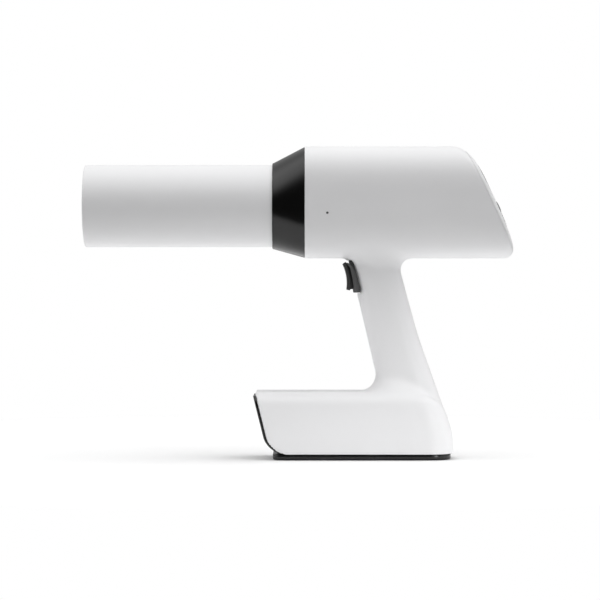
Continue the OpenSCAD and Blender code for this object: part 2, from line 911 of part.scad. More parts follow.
module trigger() {
    face = [
        beside(-3.4, 3, 0.6),
        beside(-6.4, 4.9, 0.8),
        beside(-5.5, 13.6, 32),
        beside(-6.3, 20.2, 22),
        beside(-8.0, 26.2, 0.8),
        beside(-5.6, 26.6, 0.6),
        beside(-3.3, 8, 6)
    ];
    stem = [
        beside(-4, 5),
        beside(-6.5, 24.5),
        beside(-4.5, 25.6),
        [stem_back, head_bottom - 25.6, 0],
        [stem_back, head_bottom - 9, 0],
        [pin_x + 2, head_bottom - 7, 0]
    ];
    color([0.22, 0.22, 0.23])
        difference() {
            union() {
                across(trigger_w + 2 * trigger_lip)
                    polygon(outline(face));
                across(trigger_w) {
                    polygon(outline(stem));
                    translate([pin_x, pin_z])
                        circle(d = trigger_pin_d + 4, $fn = 48);
                }
            }
            rod_y(pin_x, pin_z, -window_w, 2 * window_w, trigger_pin_d + 2 * run_gap);
        }
}
module trigger_pin() {
    color(steel)
        rod_y(pin_x, pin_z, -bezel_w / 2 + 0.5, bezel_w - 1, trigger_pin_d);
}
// A compression spring along X, between the trigger's stem and its surround.
module trigger_spring() {
    turns = 5;
    steps = 12;
    length = bezel_back - stem_back - spring_wire - fit_gap;
    radius = (spring_d - spring_wire) / 2;
    color(steel)
        translate([stem_back + spring_wire / 2 + fit_gap / 2, 0, head_bottom - spring_drop])
            skin([for (k = [0:turns * steps])
                let (a = 360 * k / steps, hub = [cos(a), sin(a)])
                [for (i = [0:5])
                    let (reach = radius + spring_wire / 2 * cos(60 * i))
                    [length * k / (turns * steps) + spring_wire / 2 * sin(60 * i), reach * hub[0], reach * hub[1]]]]);
}
module switch_box(grow, length) {
    translate([switch_x - grow, -switch_w / 2 - grow, head_bottom - stem_drop - switch_h / 2 - grow])
        cube([switch_len + 2 * grow + length, switch_w + 2 * grow, switch_h + 2 * grow]);
}
module trigger_switch() {
    color([0.1, 0.1, 0.11])
        difference() {
            switch_box(0, 0);
            rod_x(switch_x - 1, 1 + plunger_in + switch_stroke + switch_spare, plunger_d + 2 * run_gap, head_bottom - stem_drop);
        }
}
module switch_plunger() {
    color([0.7, 0.15, 0.12])
        rod_x(stem_back + switch_gap, switch_x + plunger_in - stem_back - switch_gap, plunger_d, head_bottom - stem_drop);
}

// ---- Base ----
foot_front_x = base_x + 18.6;
foot_back_x = base_rear_x - 2.1;
foot_side = 2.5;
sheet_t = 2;
sheet_x = base_x + 27;
sheet_back_x = base_rear_x - 24;
sheet_half = base_w / 2 - shell_wall - 1;
pad_t = 1.5;
pad_show = 0.5;
foot_bolts = [[foot_front_x + 22, 0], [sheet_back_x - 8, 20], [sheet_back_x - 8, -20]];
cell_d = 18.4;
cell_len = 65;
cell_gap = 0.4;
cell_x = base_x + 31;
cell_z = foot_h + sheet_t + 1 + cell_d / 2;
holder_t = 5;
holder_grip = 3;
holder_h = 2 * cell_d + 3;
socket_z = 16;
socket_bore = 6.4;
socket_d = 11;

module bolts_up(z, length, d) {
    for (p = foot_bolts)
        translate([p[0], p[1], z])
            cylinder(h = length, d = d, $fn = 36);
}
module cover_sheet(grow, height) {
    translate([sheet_x - grow, -sheet_half - grow, foot_h - grow])
        cube([sheet_back_x - sheet_x + 2 * grow, 2 * (sheet_half + grow), height + grow]);
}
module cover_seat() {
    cover_sheet(fit_gap, shell_wall + 1);
}
module base_cover() {
    color(black)
        difference() {
            union() {
                intersection() {
                    difference() {
                        across(base_w - 1.2)
                            polygon(outline(base_profile(0, 0, 0, base_h - 3, toe_r)));
                        across(base_w + 2)
                            polygon(outline(base_profile(cover_t, -5, foot_h, base_h + 0.5, toe_r)));
                    }
                    translate([base_x - 1, -base_w, foot_h])
                        cube([44, 2 * base_w, base_h]);
                    linear_extrude(base_h)
                        base_plan(0, 0.6, 0);
                }
                cover_sheet(0, sheet_t);
            }
            bolts_up(foot_h - 1, sheet_t + 2, 2.6);
        }
}
module foot() {
    half = base_w / 2 - foot_side;
    color(black)
        difference() {
            translate([0, 0, pad_show])
                linear_extrude(foot_h - pad_show)
                    polygon(outline([
                        [foot_front_x, -half, 8],
                        [foot_back_x, -half, 18],
                        [foot_back_x, half, 18],
                        [foot_front_x, half, 8]
                    ]));
            foot_pads(fit_gap);
            bolts_up(-1, foot_h + 2, 2.6);
            bolts_up(-1, 3.2, 5);
        }
}
module foot_pads(grow) {
    for (x = [foot_front_x + 5, foot_back_x - 17])
        translate([x - grow, -base_w / 2 + 14 - grow, 0])
            cube([12 + 2 * grow, base_w - 28 + 2 * grow, pad_t + grow]);
}
module rubber_pads() {
    color([0.08, 0.08, 0.08])
        foot_pads(0);
}
module foot_screws() {
    color(steel) {
        bolts_up(2.2, foot_h + sheet_t - 2.2, 2.4);
        bolts_up(0.9, 1.3, 4.6);
    }
}
module cells(x, length, d) {
    for (row = [0, 1], column = [-1:1])
        rod_x(x, length, d, cell_z + row * (cell_d + cell_gap), column * (cell_d + cell_gap));
}
module battery_cells() {
    color([0.15, 0.45, 0.6])
        cells(cell_x, cell_len, cell_d);
}
module cell_holders() {
    low = foot_h + sheet_t;
    color([0.1, 0.1, 0.1])
        for (end = [0, 1])
            difference() {
                along(cell_x - holder_t + holder_grip + end * (cell_len + holder_t - 2 * holder_grip), holder_t)
                    translate([0, low + holder_h / 2])
                        polygon(rounded_box(base_w - 2 * shell_wall - 2.4, holder_h, 6));
                cells(cell_x, cell_len, cell_d + 2 * fit_gap);
            }
}
module battery_board() {
    color([0.1, 0.35, 0.2])
        translate([cell_x + 6, -20, foot_h + sheet_t + holder_h])
            cube([44, 40, board_t]);
}
module socket_hole() {
    rod_x(base_rear_x - shell_wall - 1, shell_wall + 2, socket_d + 2 * fit_gap, socket_z);
}
module charge_socket() {
    start = base_rear_x - 13;
    color([0.1, 0.1, 0.11])
        difference() {
            union() {
                rod_x(start, 12.5, socket_d, socket_z);
                translate([start - 2, -7, socket_z - 7])
                    cube([11, 14, 14]);
            }
            rod_x(start + 3, 12, socket_bore, socket_z);
        }
    color(steel)
        rod_x(start + 2, 8.5, 2.1, socket_z);
}

left_shell();
right_shell();
shell_screws();
screw_plugs();
collar();
cone_tube();
cone_liner();
cone_mount();
mount_screws();
exit_window();
collimator();
beam_filter();
tank_body();
tank_seal();
tank_cover();
tank_screws();
lead_shield();
tube_envelope();
anode_block();
target_disc();
cathode_cup();
tube_cradle();
transformer_core();
transformer_windings();
multiplier_board();
oil_bellows();
board_bracket();
drive_board();
board_screws();
wiring_harness();
rear_bezel();
panel();
display_window();
display_module();
keypad_board();
key_power();
key_mode();
key_minus();
key_plus();
focal_marks();
trigger_bezel();
trigger();
trigger_pin();
trigger_spring();
trigger_switch();
switch_plunger();
base_cover();
foot();
rubber_pads();
foot_screws();
battery_cells();
cell_holders();
battery_board();
charge_socket();
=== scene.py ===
"""Hand-held intraoral x-ray unit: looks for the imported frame. Metres, +Z up, the cone points to -X."""
import json
import math

import bmesh
import bpy
import numpy as np
from mathutils import Matrix, Vector


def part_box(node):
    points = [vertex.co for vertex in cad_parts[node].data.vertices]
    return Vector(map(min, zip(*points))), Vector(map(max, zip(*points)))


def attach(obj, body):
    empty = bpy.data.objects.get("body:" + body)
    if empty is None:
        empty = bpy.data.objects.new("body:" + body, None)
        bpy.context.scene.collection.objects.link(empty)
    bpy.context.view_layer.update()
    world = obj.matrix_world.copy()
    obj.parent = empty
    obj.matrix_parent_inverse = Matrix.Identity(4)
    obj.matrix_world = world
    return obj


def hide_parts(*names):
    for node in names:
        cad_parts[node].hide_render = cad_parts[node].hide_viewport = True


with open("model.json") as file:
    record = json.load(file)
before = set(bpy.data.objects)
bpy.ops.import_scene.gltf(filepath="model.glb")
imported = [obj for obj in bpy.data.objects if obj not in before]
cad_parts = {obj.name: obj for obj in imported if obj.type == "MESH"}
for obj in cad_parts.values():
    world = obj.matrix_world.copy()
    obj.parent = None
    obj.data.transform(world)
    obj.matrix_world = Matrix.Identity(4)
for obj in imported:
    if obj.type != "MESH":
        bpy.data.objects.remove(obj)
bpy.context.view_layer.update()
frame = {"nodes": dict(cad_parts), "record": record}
MM = 0.001

# ---------------------------------------------------------------- sizes, from the frame
collar_lo, collar_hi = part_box("collar")
collar_x, head_x = collar_lo.x, collar_hi.x
rear_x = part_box("rear_bezel")[1].x
shell_lo, shell_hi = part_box("left_shell")
top_z = shell_hi.z
head_half_w = -shell_lo.y
cone_lo, cone_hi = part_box("cone_tube")
tip_x = cone_lo.x
cone_z = (cone_lo.z + cone_hi.z) / 2
cone_r = (cone_hi.z - cone_lo.z) / 2
foot_lo, foot_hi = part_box("foot")
foot_top = foot_hi.z
base_rear_x = foot_hi.x + 2.1 * MM
base_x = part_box("base_cover")[0].x

# Sizes of the moulding that the frame's boxes don't give
head_h = 92.4 * MM
head_len = 172.4 * MM
head_bottom = top_z - head_h
head_z = top_z - head_h / 2
slant = math.radians(25)
square = 2.7
shell_wall = 2.5 * MM
bezel_t = 3 * MM
heel_r = 7 * MM
base_h = 55.8 * MM
base_half_w = 32 * MM
base_edge_r = 12 * MM
toe_r = 15 * MM
base_lean = math.radians(14)
cover_t = 2.2 * MM
grip_half_w = 18.5 * MM
grip_front_x = head_x + 36.6 * MM
grip_back_x = grip_front_x + 39.9 * MM
front_lean = math.radians(13.3)
back_lean = math.radians(15)
heel_lean = math.radians(19.5)
knee_z = base_h + 0.44 * (head_bottom - base_h)
heel_z = 21 * MM

# The plane of the sloping back: a point on it, its outward normal and its direction downhill
heel_corner_x = rear_x - heel_r + heel_r * math.tan(math.pi / 4 + slant / 2)
slope_z = head_z + 3 * MM
slope_at = np.array([heel_corner_x - (slope_z - head_bottom) * math.tan(slant), 0, slope_z])
slope_out = np.array([math.cos(slant), 0, math.sin(slant)])
slope_down = np.array([math.sin(slant), 0, -math.cos(slant)])
across = np.array([0.0, 1.0, 0.0])


def crown(down, side):
    """Swell of the sloping back over its plane."""
    return 0.7 * MM - 1.5 * MM * (down / (46 * MM)) ** 2 - 0.7 * MM * (side / (42 * MM)) ** 2


def on_slope(down, side, out):
    return slope_at + down * slope_down + side * across + out * slope_out


# ---------------------------------------------------------------- camera, light and floor
def make_camera():
    distance = 1.80
    data = bpy.data.cameras.new("camera")
    data.sensor_width = 36
    data.lens = 130.2
    data.clip_end = 60
    camera = bpy.data.objects.new("camera", data)
    bpy.context.scene.collection.objects.link(camera)
    camera.location = (0.0008, -distance, 0.131)
    camera.rotation_euler = (math.radians(90), 0, 0)
    bpy.context.scene.camera = camera


def make_stage():
    """A round pale floor under a white tent."""
    bm = bmesh.new()
    bmesh.ops.create_circle(bm, cap_ends=True, segments=96, radius=0.55)
    mesh = bpy.data.meshes.new("floor")
    bm.to_mesh(mesh)
    bm.free()
    mesh.transform(Matrix.Translation((0, 0.1, 0)))
    floor = bpy.data.objects.new("floor", mesh)
    bpy.context.scene.collection.objects.link(floor)
    paint = bpy.data.materials.new("pale_floor")
    paint.use_nodes = True
    shader = paint.node_tree.nodes["Principled BSDF"]
    shader.inputs["Base Color"].default_value = (0.94, 0.94, 0.94, 1)
    shader.inputs["Roughness"].default_value = 0.9
    shader.inputs["Specular IOR Level"].default_value = 0.1
    mesh.materials.append(paint)
    light_world()
    fill_light()


def fill_light():
    """A soft low lamp on the -Y side, behind the grip, that lifts the grip and the base."""
    data = bpy.data.lights.new("low_fill", "SPOT")
    data.energy = 6.0
    data.shadow_soft_size = 0.12
    data.spot_size = math.radians(27)
    data.spot_blend = 1.0
    lamp = bpy.data.objects.new("low_fill", data)
    bpy.context.scene.collection.objects.link(lamp)
    lamp.location = (0.62, -0.72, 0.10)
    lamp.rotation_euler = (Vector((0.09, 0, 0.0)) - lamp.location).to_track_quat("-Z", "Y").to_euler()


def light_world():
    """A white tent, open and dark on the side that faces -Y, brighter overhead and dimmer towards +Y."""
    world = bpy.data.worlds.new("studio")
    world.use_nodes = True
    tree = world.node_tree
    place = tree.nodes.new("ShaderNodeTexCoord")
    split = tree.nodes.new("ShaderNodeSeparateXYZ")
    tree.links.new(place.outputs["Generated"], split.inputs["Vector"])

    def ramp(output, low, high, start, end):
        node = tree.nodes.new("ShaderNodeMapRange")
        node.interpolation_type = "SMOOTHSTEP"
        for socket, value in (("From Min", low), ("From Max", high), ("To Min", start), ("To Max", end)):
            node.inputs[socket].default_value = value
        tree.links.new(output, node.inputs["Value"])
        return node.outputs["Result"]

    def constant(value):
        node = tree.nodes.new("ShaderNodeValue")
        node.outputs["Value"].default_value = value
        return node.outputs["Value"]

    def combine(operation, a, b):
        node = tree.nodes.new("ShaderNodeMath")
        node.operation = operation
        tree.links.new(a, node.inputs[0])
        tree.links.new(b, node.inputs[1])
        return node.outputs["Value"]

    rise = combine("MULTIPLY", split.outputs["Z"], constant(0.72))
    opening = ramp(combine("ADD", split.outputs["Y"], rise), -0.62, 0.1, 0.02, 1.1)
    overhead = ramp(split.outputs["Z"], 0.1, 0.95, 0.95, 1.7)
    behind = ramp(split.outputs["Y"], 0.0, 0.6, 1.0, 0.38)
    tent = combine("MULTIPLY", combine("MULTIPLY", opening, overhead), behind)
    path = tree.nodes.new("ShaderNodeLightPath")
    seen = tree.nodes.new("ShaderNodeMix")
    tree.links.new(path.outputs["Is Camera Ray"], seen.inputs["Factor"])
    tree.links.new(tent, seen.inputs["A"])
    seen.inputs["B"].default_value = 1.0
    sky = tree.nodes["Background"]
    sky.inputs["Color"].default_value = (1, 1, 1, 1)
    tree.links.new(seen.outputs["Result"], sky.inputs["Strength"])
    bpy.context.scene.world = world
    bpy.context.scene.view_settings.view_transform = "Standard"


make_camera()
make_stage()


# ---------------------------------------------------------------- mesh helpers
def round_turn(count):
    """Angles spread evenly over one turn."""
    return np.linspace(0, 2 * math.pi, count, endpoint=False)


def add_object(name, mesh):
    piece = bpy.data.objects.new(name, mesh)
    bpy.context.scene.collection.objects.link(piece)
    return piece


def mesh_from(name, points, faces, smooth=True):
    mesh = bpy.data.meshes.new(name)
    mesh.from_pydata([tuple(map(float, p)) for p in points], [], [tuple(map(int, f)) for f in faces])
    mesh.validate()
    for polygon in mesh.polygons:
        polygon.use_smooth = smooth
    return mesh


def outward(mesh):
    """Turns a closed mesh's faces outwards."""
    bm = bmesh.new()
    bm.from_mesh(mesh)
    bmesh.ops.recalc_face_normals(bm, faces=bm.faces)
    bm.to_mesh(mesh)
    bm.free()
    return mesh


def apply_modifiers(piece):
    """Turns the piece's modifiers into plain mesh."""
    graph = bpy.context.evaluated_depsgraph_get()
    mesh = bpy.data.meshes.new_from_object(piece.evaluated_get(graph))
    piece.modifiers.clear()
    piece.data = mesh
    return piece


def finish_piece(piece, material, body, replaced=(), sharp=35):
    piece.data.materials.clear()
    piece.data.materials.append(material)
    for polygon in piece.data.polygons:
        polygon.use_smooth = True
        polygon.material_index = 0
    piece.data.set_sharp_from_angle(angle=math.radians(sharp))
    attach(piece, body)
    if replaced:
        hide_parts(*replaced)
    return piece


# ---------------------------------------------------------------- soft-blended moulding as a field
def smooth_step(t):
    t = np.clip(t, 0, 1)
    return t * t * (3 - 2 * t)


def soft_ramp(t, width):
    """A ramp max(t, 0) with a rounded start."""
    return width * np.logaddexp(0, t / width)


def round_and(a, b, r):
    """Intersection with a rounded outer edge."""
    u = np.maximum(a + r, 0)
    v = np.maximum(b + r, 0)
    return np.minimum(np.maximum(a, b), -r) * ((u == 0) & (v == 0)) \
        + (np.hypot(u, v) - r) * ~((u == 0) & (v == 0))


def round_or(a, b, r):
    """Union with a filleted inner corner."""
    u = np.maximum(r - a, 0)
    v = np.maximum(r - b, 0)
    return np.maximum(r, np.minimum(a, b)) - np.hypot(u, v)


def squircle_distance(u, v, half_u, half_v, power):
    """Distance to a squared ellipse, true to first order near its edge."""
    a = np.maximum(np.abs(u) / half_u, 1e-6)
    b = np.maximum(np.abs(v) / half_v, 1e-6)
    g = (a ** power + b ** power) ** (1 / power)
    slope = g ** (1 - power) * np.hypot(a ** (power - 1) / half_u, b ** (power - 1) / half_v)
    return (g - 1) / np.maximum(slope, 1e-6)


def head_field(x, y, z):
    section = squircle_distance(y, z - head_z, head_half_w, head_h / 2, square)
    down = (x - slope_at[0]) * slope_down[0] + (z - slope_at[2]) * slope_down[2]
    slope = (x - slope_at[0]) * slope_out[0] + (z - slope_at[2]) * slope_out[2] - crown(down, y)
    upright = np.abs(z - head_z) / (head_h / 2)
    edge_r = (4 + 5.5 * smooth_step((upright - 0.55) / 0.4)) * MM
    return round_and(section, slope, edge_r)


def grip_front(z):
    return grip_front_x + (head_bottom - z) * math.tan(front_lean)


def grip_back(z):
    low = soft_ramp(knee_z - z, 5 * MM)
    heel = soft_ramp(heel_z - z, 4 * MM)
    return (grip_back_x + (head_bottom - z) * math.tan(back_lean)
            + low * (math.tan(heel_lean) - math.tan(back_lean)) - heel * math.tan(heel_lean))


def grip_field(x, y, z):
    front, back = grip_front(z), grip_back(z)
    middle, half = (front + back) / 2, (back - front) / 2
    side = squircle_distance(x - middle, y, half, grip_half_w, 2.5)
    return side * 0.965


def base_front(z, inset):
    return base_x + inset + (base_h - z) * math.tan(base_lean)


def base_field(x, y, z, inset, floor_z, toe):
    front = (base_front(z, inset) - x) * math.cos(base_lean)
    back = (x - grip_back(z)) * math.cos(slant / 2)
    body = round_and(np.abs(y) - base_half_w, z - base_h, base_edge_r)
    body = round_and(body, back, 20 * MM)
    plan = smooth_step((np.abs(y) - 14 * MM) / (16 * MM))
    body = round_and(body, front, (1.0 + 1.8 * plan) * MM)
    return round_and(body, round_and(front, floor_z - z, toe), 0.3 * MM)


def casing_field(x, y, z):
    """Head, grip and base as one moulding, blended where they meet."""
    head = head_field(x, y, z)
    grip = round_and(grip_field(x, y, z), z - (head_bottom + 30 * MM), MM)
    grip = round_and(grip, foot_top - z, MM)
    base = base_field(x, y, z, cover_t, foot_top, toe_r)
    near_back = smooth_step((grip_back(z) - x) / (38 * MM))
    body = round_or(base, grip, (1.5 + 16 * near_back) * MM)
    behind = smooth_step((x - grip_front(z)) / (24 * MM))
    return round_or(head, body, (6 + 7 * behind) * MM)


def gradient(field, p, h=0.02 * MM):
    parts = []
    for axis in range(3):
        a, b = p.copy(), p.copy()
        a[:, axis] += h
        b[:, axis] -= h
        parts.append((field(*a.T) - field(*b.T)) / (2 * h))
    return np.stack(parts, 1)


def field_surface(name, field, lo, hi, step):
    """Quads over the zero level of a field, pulled onto it."""
    axes = [np.arange(a, b + step, step) for a, b in zip(lo, hi)]
    grid = np.meshgrid(*axes, indexing="ij")
    value = field(*grid)
    inside = value < 0
    n = np.array(value.shape) - 1
    total = np.zeros(n)
    place = np.zeros((*n, 3))
    for axis in range(3):
        others = [a for a in range(3) if a != axis]
        low = [slice(None)] * 3
        high = [slice(None)] * 3
        low[axis], high[axis] = slice(0, -1), slice(1, None)
        a, b = value[tuple(low)], value[tuple(high)]
        crosses = inside[tuple(low)] != inside[tuple(high)]
        t = np.where(crosses, a / np.where(crosses, a - b, 1), 0)
        for du in (0, 1):
            for dv in (0, 1):
                take = [slice(None)] * 3
                take[others[0]] = slice(du, n[others[0]] + du)
                take[others[1]] = slice(dv, n[others[1]] + dv)
                hit = crosses[tuple(take)]
                total += hit
                for k in range(3):
                    along = t[tuple(take)] * step if k == axis else 0
                    place[..., k] += np.where(hit, grid[k][tuple(low)][tuple(take)] + along, 0)
    used = total > 0
    index = np.full(n, -1)
    index[used] = np.arange(used.sum())
    points = place[used] / total[used][:, None]
    for _ in range(3):
        g = gradient(field, points)
        size = np.maximum((g * g).sum(1), 0.05)
        move = -(field(*points.T) / size)[:, None] * g
        length = np.linalg.norm(move, axis=1, keepdims=True)
        points += move * np.minimum(1, 0.8 * step / np.maximum(length, 1e-9))
    quads = []
    for axis in range(3):
        u, v = [(1, 2), (2, 0), (0, 1)][axis]
        low = [slice(1, -1)] * 3
        high = [slice(1, -1)] * 3
        low[axis], high[axis] = slice(0, -1), slice(1, None)
        a, b = inside[tuple(low)], inside[tuple(high)]
        where = np.argwhere(a != b)
        start = where + np.array([0 if k == axis else 1 for k in range(3)])
        corner = []
        for du, dv in ((-1, -1), (0, -1), (0, 0), (-1, 0)):
            cell = start.copy()
            cell[:, u] += du
            cell[:, v] += dv
            corner.append(index[tuple(cell.T)])
        quad = np.stack(corner, 1)
        flip = ~a[tuple(where.T)]
        quad[flip] = quad[flip][:, ::-1]
        quads.append(quad)
    quads = np.concatenate(quads)
    quads = quads[(quads >= 0).all(1)]
    return mesh_from(name, points, quads)


def cut_mesh(mesh, at, normal, fill=False):
    """Keeps the part of the mesh behind a plane."""
    bm = bmesh.new()
    bm.from_mesh(mesh)
    geometry = bm.verts[:] + bm.edges[:] + bm.faces[:]
    found = bmesh.ops.bisect_plane(bm, geom=geometry, dist=1e-7, plane_co=at, plane_no=normal,
                                   clear_outer=True)
    if fill:
        rim = [g for g in found["geom_cut"] if isinstance(g, bmesh.types.BMEdge)]
        bmesh.ops.holes_fill(bm, edges=rim, sides=0)
    bm.to_mesh(mesh)
    bm.free()
    return mesh


def mirror_mesh(mesh, name):
    other = mesh.copy()
    other.name = name
    other.transform(Matrix.Scale(-1, 4, (0, 1, 0)))
    other.flip_normals()
    return other


def hollow(piece, wall):
    """Gives an open skin its wall, inwards."""
    solid = piece.modifiers.new("wall", "SOLIDIFY")
    solid.thickness = wall
    solid.offset = -1
    solid.use_even_offset = True
    solid.thickness_clamp = 0.6
    return apply_modifiers(piece)


def combine_with(piece, tool, operation):
    step = piece.modifiers.new(tool.name, "BOOLEAN")
    step.operation = operation
    step.solver = "EXACT"
    step.object = tool
    return apply_modifiers(piece)


def cut_away(piece, tools):
    """Cuts the tools out of a piece. A cut that would lose most of the piece is left out, and says so."""
    for tool in tools:
        whole = piece.data
        combine_with(piece, tool, "DIFFERENCE")
        if len(piece.data.polygons) < 0.5 * len(whole.polygons):
            print("cut left out:", piece.name, tool.name)
            piece.data = whole
    return piece


def prism(name, outline, low, high):
    """A block along Y from an outline of (x, z) points."""
    count = len(outline)
    points = [(x, y, z) for y in (low, high) for x, z in outline]
    faces = [tuple(range(count)), tuple(reversed(range(count, 2 * count)))]
    faces += [(i, i + count, (i + 1) % count + count, (i + 1) % count) for i in range(count)]
    return add_object(name, outward(mesh_from(name, points, faces, smooth=False)))


def rod(name, start, end, radius, count=40):
    """A capped round bar between two points, for cutting holes."""
    start, end = Vector(start), Vector(end)
    turn = (end - start).to_track_quat("Z", "Y").to_matrix()
    ring = [turn @ Vector((radius * math.cos(a), radius * math.sin(a), 0))
            for a in round_turn(count)]
    points = [start + r for r in ring] + [end + r for r in ring]
    faces = [tuple(reversed(range(count))), tuple(range(count, 2 * count))]
    faces += [(i, (i + 1) % count, (i + 1) % count + count, i + count) for i in range(count)]
    return add_object(name, mesh_from(name, points, faces, smooth=False))


# ---------------------------------------------------------------- materials
def material(name, colour, roughness, metallic=0.0, grain=1500, bump=0.02, spread=0.06, tint=0.02,
             coat=0.0, specular=0.5, see_through=0.0, stretch=(1, 1, 1)):
    """A moulded or machined surface: fine grain in the normal, slow changes in gloss and shade."""
    paint = bpy.data.materials.new(name)
    paint.use_nodes = True
    tree = paint.node_tree
    shader = tree.nodes["Principled BSDF"]
    shader.inputs["Metallic"].default_value = metallic
    shader.inputs["Coat Weight"].default_value = coat
    shader.inputs["Coat Roughness"].default_value = 0.06
    shader.inputs["Specular IOR Level"].default_value = specular
    shader.inputs["Transmission Weight"].default_value = see_through

    place = tree.nodes.new("ShaderNodeTexCoord")
    mapping = tree.nodes.new("ShaderNodeMapping")
    mapping.inputs["Scale"].default_value = stretch
    tree.links.new(place.outputs["Object"], mapping.inputs["Vector"])

    fine = tree.nodes.new("ShaderNodeTexNoise")
    fine.inputs["Scale"].default_value = grain
    fine.inputs["Detail"].default_value = 3
    slow = tree.nodes.new("ShaderNodeTexNoise")
    slow.inputs["Scale"].default_value = 22
    slow.inputs["Detail"].default_value = 5
    for noise in (fine, slow):
        tree.links.new(mapping.outputs["Vector"], noise.inputs["Vector"])

    relief = tree.nodes.new("ShaderNodeBump")
    relief.inputs["Strength"].default_value = bump
    relief.inputs["Distance"].default_value = 0.0003
    tree.links.new(fine.outputs["Fac"], relief.inputs["Height"])
    tree.links.new(relief.outputs["Normal"], shader.inputs["Normal"])

    gloss = tree.nodes.new("ShaderNodeMapRange")
    gloss.inputs["From Min"].default_value = 0.3
    gloss.inputs["From Max"].default_value = 0.7
    gloss.inputs["To Min"].default_value = max(roughness - spread, 0.02)
    gloss.inputs["To Max"].default_value = roughness + spread
    tree.links.new(slow.outputs["Fac"], gloss.inputs["Value"])
    tree.links.new(gloss.outputs["Result"], shader.inputs["Roughness"])

    shade = tree.nodes.new("ShaderNodeMix")
    shade.data_type = "RGBA"
    shade.inputs["A"].default_value = (*[c * (1 - tint) for c in colour], 1)
    shade.inputs["B"].default_value = (*[min(c * (1 + tint), 1) for c in colour], 1)
    tree.links.new(slow.outputs["Fac"], shade.inputs["Factor"])
    tree.links.new(shade.outputs["Result"], shader.inputs["Base Color"])
    return paint


def grey(v):
    return (v, v, v * 1.01)


looks = {
    "white_casing": material("white_satin_plastic", grey(0.87), 0.38, bump=0.05, tint=0.012, specular=0.45),
    "black_gloss": material("black_gloss_plastic", grey(0.003), 0.22, bump=0.006, spread=0.03),
    "black_satin": material("black_satin_plastic", grey(0.03), 0.42, bump=0.12),
    "rubber": material("black_rubber", grey(0.022), 0.78, bump=0.25, specular=0.3),
    "steel": material("bright_steel", (0.62, 0.62, 0.64), 0.26, metallic=1.0,
                      grain=700, bump=0.03, stretch=(1, 1, 8)),
    "sheet_steel": material("plated_sheet_steel", (0.56, 0.57, 0.58), 0.38, metallic=1.0,
                            grain=500, bump=0.05),
    "lead": material("lead", (0.24, 0.25, 0.27), 0.55, metallic=1.0, grain=260, bump=0.12, tint=0.1),
    "aluminium": material("aluminium", (0.72, 0.73, 0.74), 0.32, metallic=1.0,
                          grain=900, bump=0.04, stretch=(8, 1, 1)),
    "glass": material("clear_glass", (0.96, 0.97, 0.97), 0.05, bump=0.002, spread=0.02, see_through=0.95),
    "copper": material("copper", (0.80, 0.42, 0.26), 0.3, metallic=1.0, grain=600, bump=0.05, tint=0.08),
    "tungsten": material("tungsten", (0.30, 0.30, 0.31), 0.42, metallic=1.0, grain=800, bump=0.05),
    "insulator": material("amber_insulator", (0.52, 0.38, 0.20), 0.5, bump=0.08, tint=0.06),
    "core_iron": material("core_iron", (0.20, 0.20, 0.21), 0.5, metallic=1.0,
                          grain=400, bump=0.1, stretch=(1, 1, 20)),
    "circuit_board": material("green_circuit_board", (0.02, 0.16, 0.07), 0.4, grain=420, bump=0.2, tint=0.2),
    "cable": material("cable_sleeve", grey(0.035), 0.55, grain=900, bump=0.4, stretch=(1, 1, 3)),
    "display_glass": material("display_glass", grey(0.010), 0.05, bump=0.002, spread=0.02, coat=0.6),
    "display": material("display_module", (0.035, 0.05, 0.055), 0.3, bump=0.01),
    "key_grey": material("key_grey_rubber", grey(0.16), 0.5, bump=0.12),
    "mark_grey": material("printed_mark_grey", grey(0.07), 0.5, bump=0.05),
    "trigger_grey": material("trigger_grey_plastic", grey(0.055), 0.36, bump=0.12),
    "red_plastic": material("red_plastic", (0.50, 0.04, 0.03), 0.4, bump=0.05),
    "cell_wrap": material("blue_cell_wrap", (0.03, 0.10, 0.34), 0.35, bump=0.04),
}
slots = {part["node"]: part["material_slot"] for part in frame["record"]["subparts"]}
for node, piece in frame["nodes"].items():
    piece.data.materials.clear()
    piece.data.materials.append(looks[slots[node]])
white = looks["white_casing"]
gloss = looks["black_gloss"]

# ---------------------------------------------------------------- casing halves
pad = 4 * MM
far_corner = (rear_x + 2 * pad, head_half_w + pad, top_z + pad)
half_mesh = field_surface("casing_skin", casing_field, (base_x - pad, -3 * MM, foot_top - pad), far_corner,
                          1.6 * MM)


def cut_above(mesh, at, normal, above):
    """Cuts only the part of the mesh that lies above a height."""
    bm = bmesh.new()
    bm.from_mesh(mesh)
    faces = [f for f in bm.faces if min(v.co.z for v in f.verts) > above]
    edges = {e for f in faces for e in f.edges}
    verts = {v for f in faces for v in f.verts}
    bmesh.ops.bisect_plane(bm, geom=list(verts) + list(edges) + faces, dist=1e-7, plane_co=at,
                           plane_no=Vector(normal), clear_outer=True)
    bm.to_mesh(mesh)
    bm.free()


seam = 0.1 * MM
joint_at = slope_at - slope_out * bezel_t
cut_mesh(half_mesh, (0, seam, 0), (0, -1, 0))
above_grip_z = 150 * MM
cut_above(half_mesh, (head_x, 0, 0), (-1, 0, 0), above_grip_z)
cut_above(half_mesh, tuple(joint_at - slope_out * seam), tuple(slope_out), above_grip_z)
cut_mesh(half_mesh, (0, 0, foot_top + 0.2 * MM), (0, 0, -1))

right = add_object("right_casing_half", half_mesh)
left = add_object("left_casing_half", mirror_mesh(half_mesh, "left_casing_half"))
for half, node in ((right, "right_shell"), (left, "left_shell")):
    hollow(half, shell_wall)
    finish_piece(half, white, "root_body", (node,), sharp=40)


